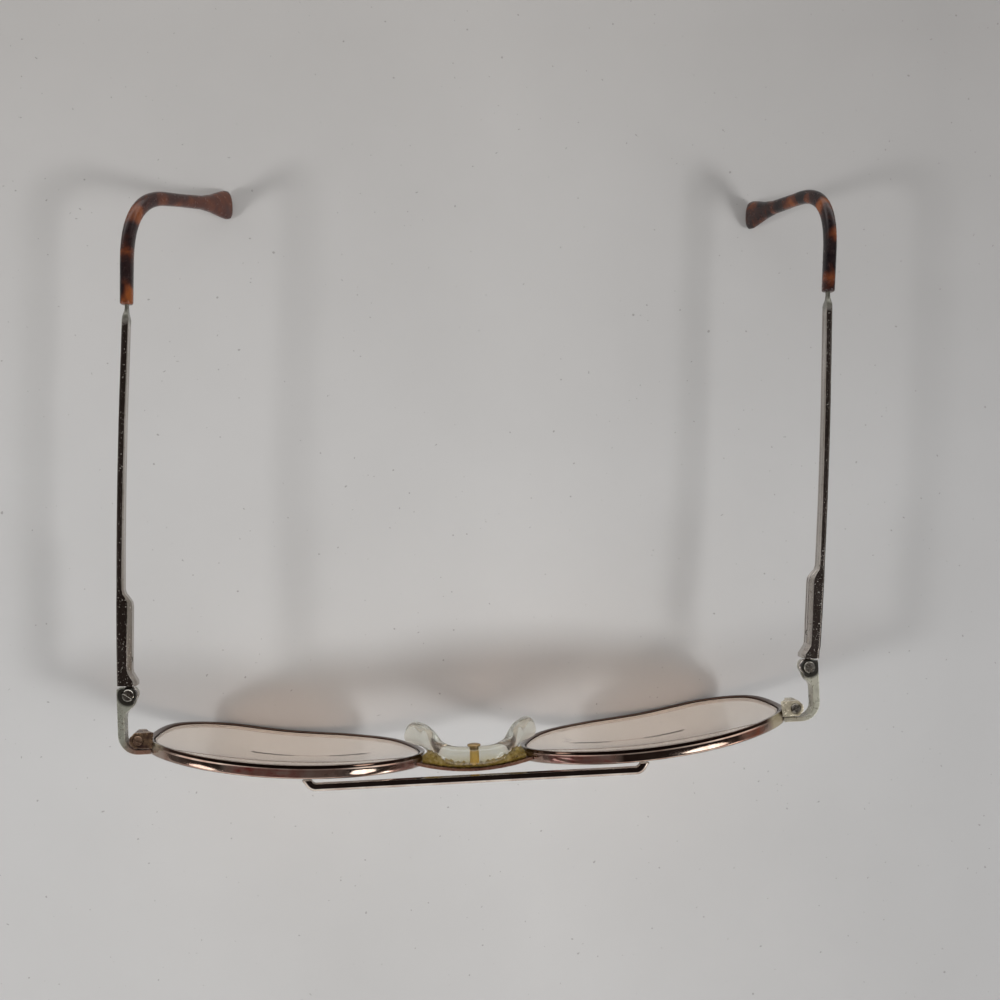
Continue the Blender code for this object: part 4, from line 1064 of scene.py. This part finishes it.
def make_endpiece(side, sign):
    bottom = HINGE_Z - HINGE_HEIGHT / 2
    top = HINGE_Z + HINGE_HEIGHT / 2
    rings = soft_plate(endpiece_outline(side, sign), bottom, top, STRAP_BEVEL)
    endpiece = lofted(side + "_endpiece_strap", rings, STRAP_METAL[side])
    x, y = sign * HINGES[side][0], HINGES[side][1]
    reach = math.hypot(STRAP_OUTER[side], SHOULDER_Y) + RUNNING_GAP
    place = on_front(x, y)
    carve(
        endpiece,
        rim_clearance(side, sign),
        cutter_rod("fork", reach, bottom + LUG_THICKNESS, top - LUG_THICKNESS, place),
        cutter_rod("hole", SCREW_RADIUS + RUNNING_GAP, bottom - MM, top + MM, place),
        cutter_rod("sink", HINGE_HEAD_RADIUS + RUNNING_GAP, top - HEAD_HEIGHT, top + MM, place),
    )
    dress(endpiece, side + "_endpiece", "front")
    make_screw(side + "_hinge_screw_turned", side + "_hinge_screw", x, y, top + RUNNING_GAP, HINGE_HEIGHT,
               SCREW_RADIUS, HINGE_HEAD_RADIUS, math.radians(HINGE_SLOT_TURN[side]), STEEL)


# The temples, in the hinge's axes: +Y along the arm, and outwards is sign times +X

def hinge_place(side):
    along = Vector(JOINTS[side + "_flex_slide"]["axis"])
    turn = Matrix((along.cross(UP), along, UP)).transposed().to_4x4()
    return Matrix.Translation(HINGE_AT[side]) @ turn


def make_slider(side, sign):
    """The middle knuckle between the endpiece's lugs, and the tongue that runs into the housing."""
    half = HINGE_HEIGHT / 2 - LUG_THICKNESS - RUNNING_GAP
    place = hinge_place(side)
    profile = [(KNUCKLE_RADIUS, half - 0.1 * MM), (KNUCKLE_RADIUS * 0.94, half)]
    profile = [(radius, -level) for radius, level in reversed(profile)] + profile
    knuckle = lofted(side + "_hinge_knuckle", turned(profile, place), NICKEL)
    carve(knuckle, cutter_rod("hole", SCREW_RADIUS + RUNNING_GAP, -3 * MM, 3 * MM, place))
    dress(knuckle, side + "_hinge_slider", side + "_slider")
    tongue = [(0.2, KNUCKLE_RADIUS / MM * 0.98, 0.65, half / MM, 8.0)]
    rings = []
    for x, y, a, b, power in tongue + SHAFT_STATIONS:
        centre = Vector((sign * x, y, 0)) * MM
        rings.append([place @ (centre + Vector((s, 0, t)) * MM) for s, t in superellipse(a, b, 32, power)])
    shaft = lofted(side + "_slider_shaft", rings, NICKEL)
    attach(shaft, side + "_slider")


def temple_path(side):
    """The centre line of the bent temple from the hinge."""
    sign = SIDES[side]
    reach, lean = TIP_ENDS[side]
    start = Vector((sign * ARM_MIDDLE, BEND_START, 0.0))
    corner = Vector((sign * ARM_MIDDLE, BEND_CORNER, 0.0))
    end = Vector((-sign * lean, reach, TIP_END_Z - HINGE_Z))
    leave = corner + (end - corner).normalized() * BEND_RUN
    points = [Vector((sign * ARM_MIDDLE, 0.0, 0.0)), start]
    for t in np.linspace(0, 1, 31)[1:]:
        points.append(start * (1 - t) ** 2 + corner * (2 * t * (1 - t)) + leave * t**2)
    points.append(end)
    return points


def along_path(points, distance):
    """The point at a distance along the path, and the path's direction there."""
    left = distance
    for near_end, far_end in zip(points, points[1:]):
        step = (far_end - near_end).length
        if left <= step or far_end is points[-1]:
            return near_end + (far_end - near_end) * (left / step), (far_end - near_end).normalized()
        left -= step


def path_length(points):
    return sum((after - before).length for before, after in zip(points, points[1:]))


def section_axes(points, distance):
    """The section's middle and its thin and tall axes, which turn from upright into the bend's plane."""
    centre, direction = along_path(points, distance)
    bend_end = path_length(points[:-1])
    share = clamp((distance - TIP_START) / (bend_end - TIP_START))
    bend = (points[1] - points[0]).cross(points[-1] - points[1]).normalized()
    in_plane = bend.cross(direction).normalized()
    tall = -UP * (1 - share) + in_plane * share
    tall = (tall - direction * tall.dot(direction)).normalized()
    return centre, direction.cross(tall), tall


def arm_section(inner, outer, height, groove, slope, edge):
    """The arm's section as (outwards, up), with two fine grooves on its inner face.

    The slope leans the upper inner face in, and the edge is the width of the outer top chamfer.
    """
    half = height / 2
    straight = half - ARM_CORNER
    lean = straight - 1.3 * slope
    points = [(outer, half - edge * 0.85), (outer - edge * 0.06, half - edge * 0.66)]
    points += [(outer - edge * 0.92, half - edge * 0.06), (outer - edge * 1.08, half)]
    points += arc((inner + slope + ARM_CORNER, straight), ARM_CORNER, 90, 150, 4)
    points.append((inner + ARM_CORNER * 0.1, lean))
    for middle in (lean - 0.14 * MM, -0.5 * straight):
        ledge = 0.05 * MM + groove
        for shift, deep in ((0.10 * MM, 0.0), (0.05 * MM, groove), (-0.03 * MM, groove), (-ledge, 0.0)):
            points.append((inner + deep, middle + shift))
    points += arc((inner + ARM_CORNER, -straight), ARM_CORNER, 180, 270, 4)
    points += arc((outer - ARM_CORNER, -straight), ARM_CORNER, 270, 360, 4)
    return points


def arm_bow(y):
    """How far the bowed arm stands outwards at a distance from the hinge."""
    return float(np.interp(y / MM, [row[0] for row in ARM_BOW], [row[1] for row in ARM_BOW])) * MM


def arm_stations(side):
    """From the housing's front to the neck: distance, inner face, height, and depth of the grooves."""
    front = SHOULDER_Y + SHOULDER_GAP
    deep = ARM_GROOVE[side]
    stations = [
        (front + back * MM, inner * MM, HOUSING_HEIGHT - less * MM, deep * share)
        for back, inner, less, share in HOUSING_STATIONS
    ]
    stations.append((HOUSING_END * 0.6, HOUSING_INNER, HOUSING_HEIGHT, deep))
    for share, drop in HOUSING_RUN_OUT:
        y = HOUSING_END + HOUSING_TAPER * 1.3 * share
        inner = HOUSING_INNER + (STRIP_INNER + arm_bow(y) - HOUSING_INNER) * drop
        height = HOUSING_HEIGHT + (ARM_HEIGHT - HOUSING_HEIGHT) * drop
        stations.append((y, inner, height, deep + (STRIP_GROOVE - deep) * drop))
    for y in np.linspace(HOUSING_END + HOUSING_TAPER * 2, NECK_START, 22):
        stations.append((float(y), STRIP_INNER + arm_bow(y), ARM_HEIGHT, STRIP_GROOVE))
    return stations


def make_arm(side, sign):
    """Housing, flat strip, round neck and the core inside the tip, in one piece of metal."""
    path = temple_path(side)
    place = hinge_place(side)
    edge = ARM_EDGE[side]
    rings = []
    for y, inner, height, groove in arm_stations(side):
        past = clamp((y - HOUSING_END) / (NECK_START - HOUSING_END))
        slope = STRIP_SLOPE * (1 - past) + LEAST_SLOPE
        slope += (HOUSING_SLOPE - STRIP_SLOPE) * clamp((STRIP_INNER - inner) / (STRIP_INNER - HOUSING_INNER))
        straighter = LEFT_FRONT_BOW if side == "left" and y < LEFT_FRONT_END else 1.0
        outer = ARM_OUTER + arm_bow(y) * straighter
        shape = arm_section(inner, outer, height, groove, slope, edge)
        rings.append([place @ Vector((sign * x, y, z)) for x, z in shape])
    half_thick = ARM_THICKNESS / 2
    flat = arm_section(-half_thick, half_thick, ARM_HEIGHT, 0.0, LEAST_SLOPE, edge)
    bearings = [math.atan2(z, x) for x, z in flat]
    core = [(CORE_RADIUS * math.cos(turn), CORE_RADIUS * math.sin(turn)) for turn in bearings]
    for share in (0.25, 0.5, 0.75, 1.0):
        ease = share * share * (3 - 2 * share)
        y = NECK_START + (TIP_START - NECK_START - 0.8 * MM) * share
        ring = []
        for (x, z), (core_x, core_z) in zip(flat, core):
            across = sign * (ARM_MIDDLE + x + (core_x - x) * ease)
            ring.append(place @ Vector((across, y, z + (core_z - z) * ease)))
        rings.append(ring)
    for distance in np.linspace(TIP_START + 0.6 * MM, path_length(path) - CORE_SHORT, 30):
        centre, thin, tall = section_axes(path, float(distance))
        rings.append([place @ (centre - thin * sign * x - tall * z) for x, z in core])
    arm = lofted(side + "_temple_arm_metal", rings, NICKEL, 28)
    shaft_place = place @ Matrix.Translation((sign * SHAFT_OUT * MM, 0, 0))
    bore_place = shaft_place @ Matrix.Rotation(-math.pi / 2, 4, "X")
    inwards = Matrix.Rotation(-sign * math.pi / 2, 4, "Y")
    pin_place = shaft_place @ Matrix.Translation((0, PIN_Y, 0)) @ inwards
    carve(
        arm,
        cutter_rod("pin_hole", PIN_RADIUS + RUNNING_GAP, *PIN_HOLE, pin_place, 36),
        cutter_rod("bore", BORE_RADIUS, SHOULDER_Y + SHOULDER_GAP - MM, BORE_END, bore_place),
    )
    dress(arm, side + "_temple_arm", side + "_temple")


def tip_width(distance, total):
    """The tip's broad side: a sleeve, a waist and a paddle."""
    flare = total - PADDLE_LENGTH
    stops = (
        (TIP_START, TIP_WIDTH),
        (BEND_CORNER, TIP_WIDTH),
        (total - PADDLE_LENGTH * 1.7, TIP_WAIST),
        (flare, TIP_WAIST * 1.08),
        (total - PADDLE_LENGTH * 0.68, TIP_WAIST * 1.42),
        (total - PADDLE_LENGTH * 0.42, PADDLE_WIDTH * 0.84),
        (total - PADDLE_LENGTH * 0.20, PADDLE_WIDTH),
        (total - PADDLE_LENGTH * 0.09, PADDLE_WIDTH * 0.99),
        (total, PADDLE_WIDTH * 0.90),
    )
    return float(np.interp(distance, [s[0] for s in stops], [s[1] for s in stops]))


def make_tip(side):
    """The tortoiseshell sleeve: oval, narrower past the bend, and flared to a rounded paddle."""
    path = temple_path(side)
    total = path_length(path)
    place = hinge_place(side)
    distances = list(np.linspace(TIP_START + 0.35 * MM, total - PADDLE_LENGTH, 70))
    distances += list(np.linspace(total - PADDLE_LENGTH, total - 0.9 * MM, 24)[1:])
    half = TIP_THICKNESS / 2
    sizes = [(TIP_START, half * 0.80, TIP_WIDTH * 0.42)]
    sizes.append((TIP_START + 0.12 * MM, half * 0.93, TIP_WIDTH * 0.47))
    for distance in distances:
        near_end = max(0.0, 1 - (total - distance) / (3 * MM))
        width = tip_width(distance, total)
        sizes.append((distance, half * (1 - 0.18 * near_end), width / 2))
    for turn in np.radians((20, 40, 58, 74, 84)):
        thin_half = half * 0.84 * math.cos(turn) ** 0.8
        shrink = 1 - 0.28 * (1 - math.cos(turn))
        sizes.append((total - 0.9 * MM * (1 - math.sin(turn)), thin_half, PADDLE_WIDTH * 0.455 * shrink))
    rings = []
    for distance, thin_half, tall_half in sizes:
        centre, thin, tall = section_axes(path, float(distance))
        shape = superellipse(thin_half, tall_half, 40, TIP_SQUARENESS)
        rings.append([place @ (centre + thin * s + tall * t) for s, t in shape])
    tip = lofted(side + "_temple_tip_acetate", rings, TORTOISESHELL, sharp=50)
    dress(tip, side + "_temple_tip", side + "_temple", flat_faces=False)


# Camera, floor and light

CAMERA_AT = Vector((-17.2, -10.3, 306.1)) * MM
CAMERA_TURNS = (-0.49, -4.16, -2.16)    # degrees about X, Y and Z, as fitted to the photograph
FOCAL_LENGTH = 47.34                    # mm on a 36 mm sensor
FLOOR_Z = -0.2 * MM
FLOOR_HALF = 1.5
LAMPS_AIM_AT = (0, 0, 0.01)
# Place, size and power, and whether polished metal mirrors it. Two lamps in front throw shadows to
# both sides and a third softens them; the cards show in the metal.
LAMPS = {
    "lamp_left": ((-1.62, -0.62, 1.50), 0.38, 15.0, False),
    "lamp_right": ((0.75, -0.44, 1.07), 0.25, 5.6, False),
    "soft_fill": ((0.0, -0.1, 1.6), 1.8, 2.9, False),
    "card_left": ((-1.70, -0.62, 0.85), 0.75, 5.7, True),
    "card_right": ((0.97, -0.44, 1.07), 0.62, 4.3, True),
    "card_low": ((1.58, -1.11, 0.52), 0.35, 1.5, True),
}


def make_camera():
    data = bpy.data.cameras.new("camera")
    data.lens = FOCAL_LENGTH
    data.sensor_width = 36.0
    data.clip_start = 0.01
    data.clip_end = 10.0
    camera = bpy.data.objects.new("camera", data)
    bpy.context.scene.collection.objects.link(camera)
    turns = [Matrix.Rotation(math.radians(turn), 3, axis) for turn, axis in zip(CAMERA_TURNS, "XYZ")]
    to_image = turns[0] @ turns[1] @ turns[2] @ Matrix.Diagonal((1, -1, -1))
    right, down, ahead = (Vector(row) for row in to_image)
    turn = Matrix((right, -down, -ahead)).transposed()
    camera.matrix_world = Matrix.Translation(CAMERA_AT) @ turn.to_4x4()
    bpy.context.scene.camera = camera


def make_floor():
    corners = [(x * FLOOR_HALF, y * FLOOR_HALF, FLOOR_Z) for x, y in ((-1, -1), (1, -1), (1, 1), (-1, 1))]
    floor = mesh_object("floor", corners, [(0, 1, 2, 3)], make_floor_finish())


def make_lamp(name, place, size, power, mirrored):
    data = bpy.data.lights.new(name, "AREA")
    data.shape = "DISK"
    data.size = size
    data.energy = power
    lamp = bpy.data.objects.new(name, data)
    bpy.context.scene.collection.objects.link(lamp)
    lamp.location = place
    lamp.rotation_mode = "QUATERNION"
    lamp.rotation_quaternion = (Vector(LAMPS_AIM_AT) - Vector(place)).to_track_quat("-Z", "Y")
    lamp.visible_glossy = mirrored


def make_world():
    """A dark room with bright walls before and behind the glasses, which polished metal mirrors."""
    world = bpy.data.worlds.new("studio")
    bpy.context.scene.world = world
    world.use_nodes = True
    tree = world.node_tree
    axes = separate(tree, tree.nodes.new("ShaderNodeTexCoord").outputs["Generated"])
    facing = spread(tree, maths(tree, "ABSOLUTE", axes["Y"]), 0.0, 1.0, 0.30, 0.62)
    wall = ramp(tree, axes["Z"], ((0.36, (1.0, 1.0, 1.0)), (0.50, (0.22, 0.22, 0.22)),
                                  (0.66, (0.12, 0.12, 0.12)), (0.78, (0.0, 0.0, 0.0))))
    dark = ramp(tree, axes["Z"], ((0.0, (0.16, 0.15, 0.145)), (0.5, (0.05, 0.044, 0.042)),
                                  (0.8, (0.03, 0.024, 0.022)), (1.0, (0.035, 0.026, 0.024))))
    tone = mix(tree, maths(tree, "MULTIPLY", facing, wall), dark, (1.9, 1.89, 1.89))
    plug(tree, tree.nodes["Background"], Color=tone, Strength=1.0)


# Finishes that are placed on the frame, or that differ from side to side. A stain or a painted mark is its
# middle, where it starts to fade and where it is gone, its share and its colour.
TORTOISESHELL = make_tortoiseshell()
DARK_HINGES = [
    (HINGE_AT[side] + UP * HINGE_HEIGHT / 2, 2.0 * MM, 2.5 * MM, 1.0, (0.026, 0.024, 0.019))
    for side in SIDES
]
RUN_STAIN_X = 67.5 * MM
RUN_AT = {
    side: MIDDLE + Vector((sign * RUN_STAIN_X, BLOCK_REAR_Y - BLOCK_DEPTH, HINGE_Z))
    for side, sign in SIDES.items()
}
# A painted highlight on the outer corner of the right strap.
HIGHLIGHT_CORNER_AT = HINGE_AT["right"] + Vector((-4.7, -14.0, 0.0)) * MM
LEFT_RUN_STAIN = (RUN_AT["left"], 2.2 * MM, 4.6 * MM, 0.3, (0.28, 0.19, 0.11))
RIGHT_RUN_STAIN = (RUN_AT["right"], 2.2 * MM, 4.6 * MM, 0.85, (0.20, 0.09, 0.06))
PAINTED_CORNER_HIGHLIGHT = (HIGHLIGHT_CORNER_AT, 1.0 * MM, 3.2 * MM, 0.7, (0.78, 0.70, 0.50))
STRAP_METAL = {
    "left": metal("left_strap_nickel", (0.46, 0.45, 0.37), (0.33, 0.32, 0.26), 0.22, 0.36, plate=0.5,
                  spots=(0.15, 0.12, 0.08), patches=DARK_HINGES + [LEFT_RUN_STAIN]),
    "right": metal("right_strap_nickel", (0.37, 0.37, 0.31), (0.26, 0.26, 0.21), 0.22, 0.36, plate=0.5,
                   spots=(0.12, 0.09, 0.06), patches=DARK_HINGES + [RIGHT_RUN_STAIN, PAINTED_CORNER_HIGHLIGHT]),
}
BLOCK_METAL = {
    "left": metal("pale_block_gold", (0.72, 0.66, 0.51), (0.40, 0.34, 0.23), 0.14, 0.32, plate=0.6,
                  spots=(0.14, 0.10, 0.065), mottle=700),
    "right": metal("brown_block_gold", (0.31, 0.20, 0.12), (0.085, 0.045, 0.037), 0.16, 0.34, plate=0.75,
                   spots=(0.05, 0.025, 0.022), mottle=700),
}
NECK_AT = [hinge_place(side) @ along_path(temple_path(side), NECK_START + 1.3 * MM)[0] for side in SIDES]
NICKEL = metal("worn_nickel", (0.55, 0.51, 0.47), (0.36, 0.32, 0.28), 0.08, 0.20, (1, 0.25, 1),
               (0.14, 0.11, 0.07), dust=0.7,
               patches=[(at, 1.8 * MM, 3.0 * MM, 0.9, (0.11, 0.11, 0.085)) for at in NECK_AT])
RIM_SCREW_METAL = {"left": STEEL, "right": BRONZE}


def build():
    make_camera()
    make_floor()
    make_world()
    for name, (place, size, power, mirrored) in LAMPS.items():
        make_lamp(name, place, size, power, mirrored)
    for side, sign in SIDES.items():
        make_rim(side, sign)
        make_lens(side, sign)
        make_closing_blocks(side, sign)
        make_endpiece(side, sign)
        make_slider(side, sign)
        make_arm(side, sign)
        make_tip(side)
        for node in ("_hinge_spring", "_stop_pin"):
            frame["nodes"][side + node].data.materials.clear()
            frame["nodes"][side + node].data.materials.append(STEEL)
    make_brow_bar()
    make_bridge()
    make_saddle()
    make_glue_line()
    make_stud()
    bpy.context.scene.view_settings.view_transform = "Standard"


build()
